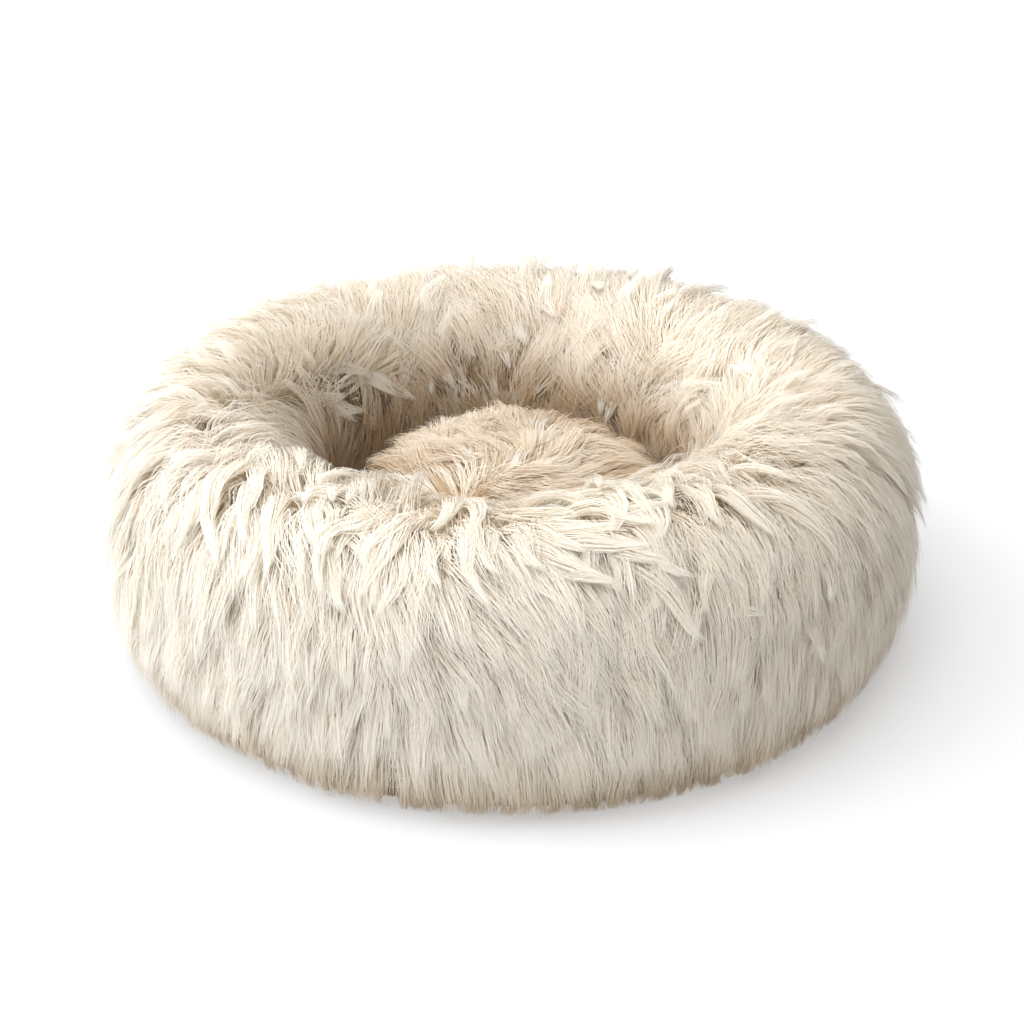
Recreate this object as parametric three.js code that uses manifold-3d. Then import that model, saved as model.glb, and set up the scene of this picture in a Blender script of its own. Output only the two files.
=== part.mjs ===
// A round pet bed: a fur-covered bolster ring with a loose fur cushion in its well.
// Both covers close underneath with a curved zip, so that the fillings come out for washing.
// Millimetres, +Z up. The origin is on the floor at the middle of the bed, and the front faces -Y.
import * as THREE from "three";
import { mergeVertices } from "three/addons/utils/BufferGeometryUtils.js";
import Module from "manifold-3d";

const wasm = await Module();
wasm.setup();

// Driving dimensions. The fur is measured to the lying surface of its pile.
const BED_RADIUS = 300;
const BED_HEIGHT = 196;
const WELL_RADIUS = 130;
const PILE = 28; // thickness of the lying pile with its backing
const CUSHION_RADIUS = 124;
const CUSHION_TOP = 146;
const ZIP_LEVEL = 9; // height of the bed's zip above the floor
const CUSHION_ZIP_RISE = 14; // height of the cushion's zip above its underside

// Thin goods.
const CLOTH = 1.2;
const WADDING = 7;
const STUD_HEIGHT = 1.2;
const GAP = 0.3; // between pieces that touch
const HALF_GAP = GAP / 2;

// Rings and discs are turned with these many sides.
const RING_SIDES = 32;
const CUSHION_SIDES = 24;
const ARC_STEP = Math.PI / 32;

const CREAM = 0xf1e9dc;
const FUR = new THREE.MeshStandardMaterial({ color: CREAM, roughness: 0.9, metalness: 0 });
const OXFORD = new THREE.MeshStandardMaterial({ color: 0xcfc6b8, roughness: 0.8, metalness: 0 });
const NONWOVEN = new THREE.MeshStandardMaterial({ color: 0xf4f3ef, roughness: 0.9, metalness: 0 });
const FIBRE = new THREE.MeshStandardMaterial({ color: 0xfafafa, roughness: 1, metalness: 0 });
const TAPE = new THREE.MeshStandardMaterial({ color: 0xe6ddce, roughness: 0.8, metalness: 0 });
const NYLON = new THREE.MeshStandardMaterial({ color: 0xe9e2d4, roughness: 0.45, metalness: 0 });
const METAL = new THREE.MeshStandardMaterial({ color: 0xb9bbbe, roughness: 0.35, metalness: 1 });
const SATIN = new THREE.MeshStandardMaterial({ color: 0xfbfaf7, roughness: 0.5, metalness: 0 });

// Heights of the stacked layers, from the floor up.
const BASE_BOTTOM = STUD_HEIGHT;
const BASE_TOP = BASE_BOTTOM + 1.6;
const WADDING_BOTTOM = BASE_TOP + GAP;
const WADDING_TOP = WADDING_BOTTOM + WADDING;
const LINING_BOTTOM = WADDING_TOP + GAP;
const LINING_TOP = LINING_BOTTOM + CLOTH;
const FUR_FOOT = LINING_TOP + 0.6;
const BOLSTER_BOTTOM = FUR_FOOT + 0.8;
const CUSHION_BOTTOM = FUR_FOOT;

// The bolster's section, around the ring's middle line.
const RING_MIDDLE = (BED_RADIUS + WELL_RADIUS) / 2;
const BOLSTER = {
  inner: WELL_RADIUS + PILE + 1,
  outer: BED_RADIUS - PILE - 1,
  bottom: BOLSTER_BOTTOM,
  top: BED_HEIGHT - PILE,
  waist: 92,
  footHalf: 30,
};

// The two zips: a curved tape around the middle of the bed, at the back.
const ZIP = { toothRow: 2.4, rowGap: 1.4, rowHalfHeight: 1.3, stopLength: 3 };
const BED_ZIP = { name: "bed_zip", radius: 250, level: ZIP_LEVEL, tape: 8.7, start: 20, sweep: 140 };
const CUSHION_ZIP = {
  name: "cushion_zip",
  radius: 101,
  level: CUSHION_BOTTOM + CUSHION_ZIP_RISE,
  tape: 4.7,
  start: 30,
  sweep: 120,
};
const SLIDER = { length: 13, front: 11, rear: 9, plate: 1.4, clear: 0.4, web: 0.6, webLength: 5 };
const BAIL = { drop: 2, bar: 0.8, hole: 0.9, knuckle: 1.6, knuckleLength: 5.2, post: 1.2 };
const PULL = { length: 24, width: 5.6, tip: 7.2, thickness: 1.4 };

const rad = THREE.MathUtils.degToRad;

// ---- Shape helpers ----

function solid(geometry) {
  const bare = (geometry.index ? geometry.toNonIndexed() : geometry.clone());
  const points = new THREE.BufferGeometry().setAttribute("position", bare.getAttribute("position"));
  const merged = mergeVertices(points, 1e-3);
  return new wasm.Manifold(new wasm.Mesh({
    numProp: 3,
    vertProperties: merged.attributes.position.array,
    triVerts: new Uint32Array(merged.index.array),
  }));
}

function geometryOf(manifold) {
  const mesh = manifold.getMesh();
  const stride = mesh.numProp;
  const position = new Float32Array(mesh.numVert * 3);
  for (let i = 0; i < mesh.numVert; i++) {
    position.set(mesh.vertProperties.subarray(i * stride, i * stride + 3), i * 3);
  }
  return new THREE.BufferGeometry()
    .setAttribute("position", new THREE.BufferAttribute(position, 3))
    .setIndex(new THREE.BufferAttribute(mesh.triVerts, 1))
    .toNonIndexed();
}

function join(...geometries) {
  return geometryOf(geometries.map(solid).reduce((all, next) => all.add(next)));
}

function cut(geometry, tool) {
  return geometryOf(solid(geometry).subtract(solid(tool)));
}

// Turns a profile of (radius, height) points about the Z axis.
function turn(points, sides) {
  const area = points.reduce((sum, p, i) => {
    const q = points[(i + 1) % points.length];
    return sum + p.x * q.y - q.x * p.y;
  }, 0);
  const profile = area < 0 ? [...points].reverse() : [...points];
  const closesOnAxis = profile[0].x === 0 && profile.at(-1).x === 0;
  if (!closesOnAxis && !profile[0].equals(profile.at(-1))) profile.push(profile[0].clone());
  return new THREE.LatheGeometry(profile, sides).rotateX(Math.PI / 2);
}

// A flat band along an arc about the Z axis, between two radii and two heights, from start over sweep radians.
function arcBand(innerRadius, outerRadius, bottom, top, start, sweep) {
  const shape = new THREE.Shape();
  shape.absarc(0, 0, outerRadius, start, start + sweep, false);
  shape.absarc(0, 0, innerRadius, start + sweep, start, true);
  const curveSegments = Math.max(1, Math.round(sweep / ARC_STEP / 2));
  return new THREE.ExtrudeGeometry(shape, { depth: top - bottom, bevelEnabled: false, curveSegments })
    .translate(0, 0, bottom);
}

// A plate of a plan shape, from bottom up by its thickness.
function plate(shape, bottom, thickness) {
  return new THREE.ExtrudeGeometry(shape, { depth: thickness, bevelEnabled: false, curveSegments: 3 })
    .translate(0, 0, bottom);
}

// A quarter of a ring, facing the direction centre, with half the gap taken off at each end.
function quarter(geometry, centre) {
  const reach = 2 * BED_RADIUS;
  const wedge = new THREE.Shape();
  wedge.moveTo(HALF_GAP * Math.SQRT2, 0);
  wedge.lineTo(reach, -reach);
  wedge.lineTo(reach, reach);
  const tool = plate(wedge, -BED_HEIGHT, 3 * BED_HEIGHT).rotateZ(centre);
  return geometryOf(solid(geometry).intersect(solid(tool)));
}

// The corner radius of a turned piece whose flat sides stay a gap outside a round one.
function outsideOf(radius, sides) {
  return (radius + GAP) / Math.cos(Math.PI / sides);
}

function part(name, geometry, material) {
  const mesh = new THREE.Mesh(geometry, material);
  mesh.name = name;
  return mesh;
}

// ---- Bolster ring ----

// How far a curve's handles reach towards the corner that it rounds.
const ROUNDNESS = 0.62;
const CURVE_STEPS = { fur: 6, hidden: 3 };

function toward(from, corner, share = ROUNDNESS) {
  return from + (corner - from) * share;
}

// The bolster's upper half, from its outer waist over the top to its inner waist.
function bolsterOver(path, inset) {
  const top = BOLSTER.top - inset;
  const outer = BOLSTER.outer - inset;
  const inner = BOLSTER.inner + inset;
  const { waist } = BOLSTER;
  path.bezierCurveTo(outer, toward(waist, top), toward(RING_MIDDLE, outer), top, RING_MIDDLE, top);
  path.bezierCurveTo(toward(RING_MIDDLE, inner), top, inner, toward(waist, top), inner, waist);
}

// The bolster's lower half, from its inner waist across its flat foot to its outer waist.
function bolsterUnder(path, inset) {
  const bottom = BOLSTER.bottom + inset;
  const outer = BOLSTER.outer - inset;
  const inner = BOLSTER.inner + inset;
  const { waist, footHalf } = BOLSTER;
  const innerFoot = RING_MIDDLE - footHalf;
  const outerFoot = RING_MIDDLE + footHalf;
  path.bezierCurveTo(inner, toward(waist, bottom), toward(innerFoot, inner), bottom, innerFoot, bottom);
  path.lineTo(outerFoot, bottom);
  path.bezierCurveTo(toward(outerFoot, outer), bottom, outer, toward(waist, bottom), outer, waist);
}

function bolsterFill() {
  const inset = CLOTH + GAP;
  const path = new THREE.Path();
  path.moveTo(BOLSTER.outer - inset, BOLSTER.waist);
  bolsterOver(path, inset);
  bolsterUnder(path, inset);
  return turn(path.getPoints(CURVE_STEPS.hidden), RING_SIDES);
}

// A panel of the inner bag that holds the filling: the bag's outside, and its inside one cloth further in.
function bagPanel(follow, startRadius, level) {
  const outside = new THREE.Path().moveTo(startRadius(0), level);
  follow(outside, 0);
  const inside = new THREE.Path().moveTo(startRadius(CLOTH), level);
  follow(inside, CLOTH);
  const points = [
    ...outside.getPoints(CURVE_STEPS.hidden),
    ...inside.getPoints(CURVE_STEPS.hidden).reverse(),
  ];
  return turn(points, RING_SIDES);
}

function bolsterBagTop() {
  return bagPanel(bolsterOver, (inset) => BOLSTER.outer - inset, BOLSTER.waist + HALF_GAP);
}

function bolsterBagBottom() {
  return bagPanel(bolsterUnder, (inset) => BOLSTER.inner + inset, BOLSTER.waist - HALF_GAP);
}

// The fur outside the ring's crown line: over the shoulder, down the wall and in under the bolster.
const SKIRT_EDGE = { outer: 270, inside: 258, level: 9, insideLevel: 18 };

function furWall() {
  const lip = outsideOf(tapeReach(BED_ZIP), RING_SIDES);
  const crown = RING_MIDDLE + HALF_GAP;
  const backing = BOLSTER.outer + GAP;
  const under = BOLSTER.top + GAP;
  const { waist } = BOLSTER;
  const widest = 100;
  const pile = new THREE.Path().moveTo(crown, BED_HEIGHT);
  pile.bezierCurveTo(
    toward(crown, BED_RADIUS), BED_HEIGHT,
    BED_RADIUS, toward(widest, BED_HEIGHT),
    BED_RADIUS, widest,
  );
  pile.bezierCurveTo(BED_RADIUS, 45, 290, 12, SKIRT_EDGE.outer, SKIRT_EDGE.level);
  pile.lineTo(lip, SKIRT_EDGE.level + 0.8);
  pile.lineTo(SKIRT_EDGE.inside, SKIRT_EDGE.insideLevel);
  const back = new THREE.Path().moveTo(SKIRT_EDGE.inside, SKIRT_EDGE.insideLevel);
  back.bezierCurveTo(266, 28, backing, 55, backing, waist);
  back.bezierCurveTo(backing, toward(waist, under), toward(crown, backing), under, crown, under);
  const points = [...pile.getPoints(CURVE_STEPS.fur), ...back.getPoints(CURVE_STEPS.hidden).slice(1)];
  return turn(points, RING_SIDES);
}

// The fur inside the crown line: over the inner shoulder and down the wall of the well to the floor lining.
const WELL_FOOT = { inner: 148, outer: 163 };

function furWell() {
  const crown = RING_MIDDLE - HALF_GAP;
  const backing = BOLSTER.inner - GAP;
  const under = BOLSTER.top + GAP;
  const { waist } = BOLSTER;
  const widest = 104;
  const pile = new THREE.Path().moveTo(crown, BED_HEIGHT);
  pile.bezierCurveTo(
    toward(crown, WELL_RADIUS), BED_HEIGHT,
    WELL_RADIUS, toward(widest, BED_HEIGHT),
    WELL_RADIUS, widest,
  );
  pile.bezierCurveTo(WELL_RADIUS, 44, 134, 20, WELL_FOOT.inner, FUR_FOOT);
  pile.lineTo(WELL_FOOT.outer, FUR_FOOT);
  const back = new THREE.Path().moveTo(WELL_FOOT.outer, FUR_FOOT);
  back.bezierCurveTo(160, 28, backing, 55, backing, waist);
  back.bezierCurveTo(backing, toward(waist, under), toward(crown, backing), under, crown, under);
  const points = [...pile.getPoints(CURVE_STEPS.fur), ...back.getPoints(CURVE_STEPS.hidden).slice(1)];
  return turn(points, RING_SIDES);
}

const SIDES = { right: 0, back: 90, left: 180, front: 270 };

function furPanels() {
  const wall = furWall();
  const well = furWell();
  return Object.entries(SIDES).flatMap(([side, degrees]) => [
    part(`wall_fur_${side}`, quarter(wall, rad(degrees)), FUR),
    part(`well_fur_${side}`, quarter(well, rad(degrees)), FUR),
  ]);
}

// ---- Base ----

const BASE_FLAT = 228;
const STUD = { radius: 7, pitch: 58, reach: 212, sides: 8 };

// Base cloth: flat under the bed, its edge turned up to meet the zip.
function baseCloth() {
  const edge = BED_ZIP.radius - ZIP.rowGap / 2 - ZIP.toothRow - GAP - BED_ZIP.tape - GAP;
  const points = [
    [0, BASE_BOTTOM], [BASE_FLAT, BASE_BOTTOM], [edge, ZIP_LEVEL - CLOTH / 2],
    [edge, ZIP_LEVEL + CLOTH / 2], [BASE_FLAT - 0.5, BASE_TOP], [0, BASE_TOP],
  ];
  const dish = turn(points.map(([r, z]) => new THREE.Vector2(r, z)), RING_SIDES);
  return join(dish, ...gripStuds());
}

// Soft PVC studs printed on the base cloth, in a triangular grid.
function gripStuds() {
  const studs = [];
  const rise = STUD.pitch * Math.sin(Math.PI / 3);
  const rows = Math.ceil(STUD.reach / rise);
  for (let row = -rows; row <= rows; row++) {
    const shift = row % 2 === 0 ? 0 : STUD.pitch / 2;
    for (let x = shift - STUD.reach * 2; x <= STUD.reach * 2; x += STUD.pitch) {
      const column = Math.round((x - shift) / STUD.pitch) * STUD.pitch + shift;
      if (Math.hypot(column, row * rise) > STUD.reach) continue;
      studs.push(stud(column, row * rise));
    }
  }
  return studs;
}

function stud(x, y) {
  const rooted = STUD_HEIGHT + 0.8;
  return new THREE.CylinderGeometry(STUD.radius, STUD.radius * 0.85, rooted, STUD.sides)
    .rotateX(Math.PI / 2)
    .translate(x, y, rooted / 2);
}

function disc(radius, bottom, top, sides) {
  const points = [[0, bottom], [radius, bottom], [radius, top], [0, top]];
  return turn(points.map(([r, z]) => new THREE.Vector2(r, z)), sides);
}

// Where the base has no zip, a woven tape joins it to the fur.
function facingTape() {
  const inner = BED_ZIP.radius - ZIP.rowGap / 2 - ZIP.toothRow - GAP - BED_ZIP.tape;
  const clear = 1 / BED_ZIP.radius;
  const start = rad(BED_ZIP.start + BED_ZIP.sweep) + clear;
  const sweep = 2 * Math.PI - rad(BED_ZIP.sweep) - 2 * clear;
  return arcBand(inner, 2 * BED_ZIP.radius - inner, ZIP_LEVEL - CLOTH / 2, ZIP_LEVEL + CLOTH / 2, start, sweep);
}

// Binding under the fur's lower edge.
function skirtBinding() {
  const top = SKIRT_EDGE.level - GAP;
  const inner = outsideOf(tapeReach(BED_ZIP), RING_SIDES);
  const outer = SKIRT_EDGE.outer + 2;
  const points = [[inner, top - CLOTH], [outer, top - CLOTH], [outer, top], [inner, top]];
  return turn(points.map(([r, z]) => new THREE.Vector2(r, z)), RING_SIDES);
}

// A satin label folded in two, sewn in under the facing tape.
function careLabel() {
  const length = 19;
  const width = 22;
  const layer = 0.5;
  const slit = 0.6;
  const fold = new THREE.Shape();
  fold.moveTo(0, 0);
  fold.lineTo(length, 0);
  fold.lineTo(length, 2 * layer + slit);
  fold.lineTo(0, 2 * layer + slit);
  fold.lineTo(0, layer + slit);
  fold.lineTo(length - layer, layer + slit);
  fold.lineTo(length - layer, layer);
  fold.lineTo(0, layer);
  return plate(fold, -width / 2, width)
    .rotateX(Math.PI / 2)
    .translate(241, 0, ZIP_LEVEL - CLOTH / 2 - GAP - 2 * layer - slit)
    .rotateZ(rad(205));
}

// ---- Zips ----

// How far a zip's outer tape reaches from the bed's middle.
function tapeReach({ radius, tape }) {
  return radius + ZIP.rowGap / 2 + ZIP.toothRow + GAP + tape;
}

function zipRows({ radius, level, start, sweep }) {
  const near = ZIP.rowGap / 2;
  const far = near + ZIP.toothRow;
  const bottom = level - ZIP.rowHalfHeight;
  const top = level + ZIP.rowHalfHeight;
  const end = (ZIP.stopLength + GAP) / radius;
  const from = rad(start) + end;
  const over = rad(sweep) - 2 * end;
  return {
    inner: arcBand(radius - far, radius - near, bottom, top, from, over),
    outer: arcBand(radius + near, radius + far, bottom, top, from, over),
  };
}

function zipTapes({ radius, level, tape, start, sweep }) {
  const edge = ZIP.rowGap / 2 + ZIP.toothRow + GAP;
  const bottom = level - CLOTH / 2;
  const top = level + CLOTH / 2;
  return {
    inner: arcBand(radius - edge - tape, radius - edge, bottom, top, rad(start), rad(sweep)),
    outer: arcBand(radius + edge, radius + edge + tape, bottom, top, rad(start), rad(sweep)),
  };
}

function zipStop({ radius, level }, angle) {
  const half = ZIP.rowGap / 2 + ZIP.toothRow;
  const reach = ZIP.rowHalfHeight + 0.2;
  return arcBand(radius - half, radius + half, level - reach, level + reach, angle, ZIP.stopLength / radius);
}

// In the slider's own frame X crosses the tape, Y runs along it, and the origin is in the tape's plane.
function zipSlider() {
  const { length, front, rear } = SLIDER;
  const outline = new THREE.Shape();
  outline.moveTo(rear / 2, length / 2);
  outline.lineTo(-rear / 2, length / 2);
  outline.quadraticCurveTo(-front / 2, length / 6, -front / 2, -length / 4);
  outline.lineTo(2 - front / 2, -length / 2);
  outline.lineTo(front / 2 - 2, -length / 2);
  outline.lineTo(front / 2, -length / 4);
  outline.quadraticCurveTo(front / 2, length / 6, rear / 2, length / 2);
  const inside = ZIP.rowHalfHeight + SLIDER.clear;
  const lower = plate(outline, -inside - SLIDER.plate, SLIDER.plate);
  const upper = plate(outline, inside, SLIDER.plate);
  const web = new THREE.BoxGeometry(SLIDER.web, SLIDER.webLength, 2 * inside + SLIDER.plate);
  return join(lower, upper, web, ...bail(-inside - SLIDER.plate));
}

// The arch under the slider that the pull hangs on: two posts and the bar between them.
function bail(underside) {
  const postCentre = BAIL.knuckleLength / 2 + GAP + BAIL.post / 2;
  const axis = underside - BAIL.drop;
  const height = BAIL.drop + BAIL.bar + 0.6;
  const posts = [-1, 1].map((side) =>
    new THREE.BoxGeometry(BAIL.post, 2.4, height)
      .translate(side * postCentre, 0, axis - BAIL.bar + height / 2));
  const bar = new THREE.CylinderGeometry(BAIL.bar, BAIL.bar, 2 * postCentre, 12)
    .rotateZ(Math.PI / 2)
    .translate(0, 0, axis);
  return [...posts, bar];
}

// The pull tab, lying along +Y from its knuckle on the bail's bar.
function zipPull() {
  const { length, width, tip, thickness } = PULL;
  const outline = new THREE.Shape();
  outline.moveTo(-BAIL.knuckleLength / 2, 0);
  outline.lineTo(BAIL.knuckleLength / 2, 0);
  outline.lineTo(width / 2, length * 0.3);
  outline.lineTo(tip / 2, length - tip / 2);
  outline.absarc(0, length - tip / 2, tip / 2, 0, Math.PI, false);
  outline.lineTo(-width / 2, length * 0.3);
  const cord = new THREE.Path();
  cord.absarc(0, length - tip / 2, 1.6, 0, 2 * Math.PI, true);
  outline.holes.push(cord);
  const tab = plate(outline, -thickness / 2, thickness);
  const knuckle = new THREE.CylinderGeometry(BAIL.knuckle, BAIL.knuckle, BAIL.knuckleLength, 14)
    .rotateZ(Math.PI / 2);
  const bore = new THREE.CylinderGeometry(BAIL.hole, BAIL.hole, 2 * BAIL.knuckleLength, 14)
    .rotateZ(Math.PI / 2);
  return cut(join(tab, knuckle), bore);
}

function zip(spec) {
  const { name, radius, level, start, sweep } = spec;
  const rows = zipRows(spec);
  const tapes = zipTapes(spec);
  const first = rad(start);
  const last = rad(start + sweep) - ZIP.stopLength / radius;
  const rest = first + (ZIP.stopLength + SLIDER.length / 2 + 1) / radius;
  const slider = part(`${name}_slider`, zipSlider(), METAL);
  const pull = part(`${name}_pull`, zipPull(), METAL);
  pull.position.z = -(ZIP.rowHalfHeight + SLIDER.clear + SLIDER.plate + BAIL.drop);
  const carriage = new THREE.Group();
  carriage.add(slider, pull);
  carriage.position.set(radius * Math.cos(rest), radius * Math.sin(rest), level);
  carriage.rotation.z = rest;
  return [
    part(`${name}_inner_tape`, tapes.inner, TAPE),
    part(`${name}_outer_tape`, tapes.outer, TAPE),
    part(`${name}_inner_teeth`, rows.inner, NYLON),
    part(`${name}_outer_teeth`, rows.outer, NYLON),
    part(`${name}_closed_stop`, zipStop(spec, first), METAL),
    part(`${name}_open_stop`, zipStop(spec, last), METAL),
    carriage,
  ];
}

// ---- Cushion ----

const PAD = { radius: 99, waist: 66, top: CUSHION_TOP - 31, bottom: CUSHION_BOTTOM + 2.4, foot: 62, crown: 68 };

function padOver(path, inset) {
  const radius = PAD.radius - inset;
  const top = PAD.top - inset;
  path.bezierCurveTo(radius, toward(PAD.waist, top), PAD.crown, top, 0, top);
}

function padUnder(path, inset) {
  const radius = PAD.radius - inset;
  const bottom = PAD.bottom + inset;
  path.lineTo(PAD.foot, bottom);
  path.bezierCurveTo(toward(PAD.foot, radius), bottom, radius, toward(PAD.waist, bottom), radius, PAD.waist);
}

function cushionFill() {
  const inset = CLOTH + GAP;
  const path = new THREE.Path().moveTo(0, PAD.bottom + inset);
  padUnder(path, inset);
  padOver(path, inset);
  return turn(path.getPoints(CURVE_STEPS.hidden), CUSHION_SIDES);
}

function cushionBagTop() {
  const level = PAD.waist + HALF_GAP;
  const outside = new THREE.Path().moveTo(PAD.radius, level);
  padOver(outside, 0);
  const inside = new THREE.Path().moveTo(PAD.radius - CLOTH, level);
  padOver(inside, CLOTH);
  const steps = CURVE_STEPS.hidden;
  return turn([...inside.getPoints(steps).reverse(), ...outside.getPoints(steps)], CUSHION_SIDES);
}

function cushionBagBottom() {
  const outside = new THREE.Path().moveTo(0, PAD.bottom);
  padUnder(outside, 0);
  const inside = new THREE.Path().moveTo(0, PAD.bottom + CLOTH);
  padUnder(inside, CLOTH);
  const steps = CURVE_STEPS.hidden;
  const points = [...outside.getPoints(steps), ...inside.getPoints(steps).reverse()];
  return turn(points.map((p) => new THREE.Vector2(p.x, Math.min(p.y, PAD.waist - HALF_GAP))), CUSHION_SIDES);
}

// The cushion's fur: one domed panel over the top and down the side to the zip.
function cushionFur() {
  const widest = 88;
  const crown = 92;
  const lip = outsideOf(tapeReach(CUSHION_ZIP), CUSHION_SIDES);
  const backing = PAD.radius + 0.6;
  const under = PAD.top + 0.6;
  const pile = new THREE.Path().moveTo(0, CUSHION_TOP);
  const shoulder = toward(widest, CUSHION_TOP);
  pile.bezierCurveTo(crown, CUSHION_TOP, CUSHION_RADIUS, shoulder, CUSHION_RADIUS, widest);
  pile.bezierCurveTo(CUSHION_RADIUS, 50, CUSHION_RADIUS - 3, 24, lip + 4, CUSHION_ZIP.level - 0.5);
  pile.lineTo(lip, CUSHION_ZIP.level + 0.5);
  pile.lineTo(lip - 2.4, CUSHION_ZIP.level + 8);
  const back = new THREE.Path().moveTo(lip - 2.4, CUSHION_ZIP.level + 8);
  back.bezierCurveTo(lip - 5, 40, backing, 50, backing, PAD.waist);
  back.bezierCurveTo(backing, toward(PAD.waist, under), PAD.crown, under, 0, under);
  const points = [...pile.getPoints(CURVE_STEPS.fur), ...back.getPoints(CURVE_STEPS.hidden).slice(1)];
  return turn(points, CUSHION_SIDES);
}

// The cushion's cloth underside, its edge turned up to the zip.
function cushionCloth() {
  const { radius, level, tape } = CUSHION_ZIP;
  const edge = radius - ZIP.rowGap / 2 - ZIP.toothRow - 2 * GAP - tape;
  const flat = edge - CUSHION_ZIP_RISE;
  const points = [
    [0, CUSHION_BOTTOM], [flat, CUSHION_BOTTOM], [edge, level - CLOTH / 2],
    [edge, level + CLOTH / 2], [flat - 0.5, CUSHION_BOTTOM + CLOTH], [0, CUSHION_BOTTOM + CLOTH],
  ];
  return turn(points.map(([r, z]) => new THREE.Vector2(r, z)), CUSHION_SIDES);
}

// Where the cushion has no zip, a woven tape joins its cloth to its fur.
function cushionFacingTape() {
  const { radius, level, tape, start, sweep } = CUSHION_ZIP;
  const edge = ZIP.rowGap / 2 + ZIP.toothRow + GAP + tape;
  const clear = 1 / radius;
  const from = rad(start + sweep) + clear;
  const over = 2 * Math.PI - rad(sweep) - 2 * clear;
  return arcBand(radius - edge, radius + edge, level - CLOTH / 2, level + CLOTH / 2, from, over);
}

// ---- Assembly ----

function ring() {
  const group = new THREE.Group();
  group.add(
    part("base_cloth", baseCloth(), OXFORD),
    part("base_wadding", disc(226, WADDING_BOTTOM, WADDING_TOP, RING_SIDES), FIBRE),
    part("floor_lining", disc(240, LINING_BOTTOM, LINING_TOP, RING_SIDES), NONWOVEN),
    part("facing_tape", facingTape(), TAPE),
    part("skirt_binding", skirtBinding(), TAPE),
    part("care_label", careLabel(), SATIN),
    part("bolster_fill", bolsterFill(), FIBRE),
    part("bolster_bag_top", bolsterBagTop(), NONWOVEN),
    part("bolster_bag_bottom", bolsterBagBottom(), NONWOVEN),
    ...furPanels(),
    ...zip(BED_ZIP),
  );
  return group;
}

function cushion() {
  const group = new THREE.Group();
  group.add(
    part("cushion_cloth", cushionCloth(), OXFORD),
    part("cushion_facing_tape", cushionFacingTape(), TAPE),
    part("cushion_fill", cushionFill(), FIBRE),
    part("cushion_bag_top", cushionBagTop(), NONWOVEN),
    part("cushion_bag_bottom", cushionBagBottom(), NONWOVEN),
    part("cushion_fur", cushionFur(), FUR),
    ...zip(CUSHION_ZIP),
  );
  return group;
}

const petBed = new THREE.Group();
petBed.add(ring(), cushion());

export default petBed;
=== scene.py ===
"""A round pet bed: a fur bolster ring with a loose fur cushion in its well, closed underneath with zips."""

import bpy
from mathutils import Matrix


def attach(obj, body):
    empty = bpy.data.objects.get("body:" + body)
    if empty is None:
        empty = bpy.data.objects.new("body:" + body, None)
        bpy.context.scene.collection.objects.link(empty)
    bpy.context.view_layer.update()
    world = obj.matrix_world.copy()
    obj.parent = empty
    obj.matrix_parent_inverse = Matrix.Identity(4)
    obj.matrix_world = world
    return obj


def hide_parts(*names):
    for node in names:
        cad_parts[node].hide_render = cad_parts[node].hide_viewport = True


bl_info = {
    "name": "Round Fur Pet Bed",
    "version": (1, 0, 0),
    "blender": (4, 5, 0),
    "location": "View3D > Sidebar > Pet Bed",
    "description": "Builds a round pet bed of long curly fur around its packed frame",
    "category": "Add Mesh",
}

import math

import bmesh
import bpy
import numpy as np
from bpy.props import FloatProperty, FloatVectorProperty, IntProperty, PointerProperty
from mathutils import Matrix, Vector
from mathutils.kdtree import KDTree

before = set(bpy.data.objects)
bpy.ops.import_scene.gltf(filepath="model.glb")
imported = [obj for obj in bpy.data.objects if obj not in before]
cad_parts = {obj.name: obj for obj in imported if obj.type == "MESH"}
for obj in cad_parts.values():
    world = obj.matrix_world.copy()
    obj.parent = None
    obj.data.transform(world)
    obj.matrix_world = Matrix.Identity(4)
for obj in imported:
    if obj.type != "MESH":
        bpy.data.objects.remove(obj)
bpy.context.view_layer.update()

SIDES = ("right", "back", "left", "front")


# ---- Colour and material helpers ----


def linear(hex_colour):
    """The linear colour of an sRGB hex value such as "F1E9DC"."""
    values = [int(hex_colour[i : i + 2], 16) / 255 for i in (0, 2, 4)]
    return tuple(v / 12.92 if v <= 0.04045 else ((v + 0.055) / 1.055) ** 2.4 for v in values) + (1.0,)


def add(tree, kind, settings=None, links=None):
    """Adds a node: settings are its attributes or input sockets, by name or number, and links feed its inputs."""
    new = tree.nodes.new(kind)
    for key, value in (settings or {}).items():
        if isinstance(key, int) or key in new.inputs:
            new.inputs[key].default_value = value
        else:
            setattr(new, key, value)
    for key, source in (links or {}).items():
        tree.links.new(source, new.inputs[key])
    return new


def blank_material(name):
    material = bpy.data.materials.new(name)
    material.use_nodes = True
    material.node_tree.nodes.clear()
    return material, material.node_tree


def finish_material(tree, shader):
    add(tree, "ShaderNodeOutputMaterial", links={"Surface": shader})


def dress(obj, *materials):
    obj.data.materials.clear()
    for material in materials:
        obj.data.materials.append(material)


# ---- Materials ----


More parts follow.
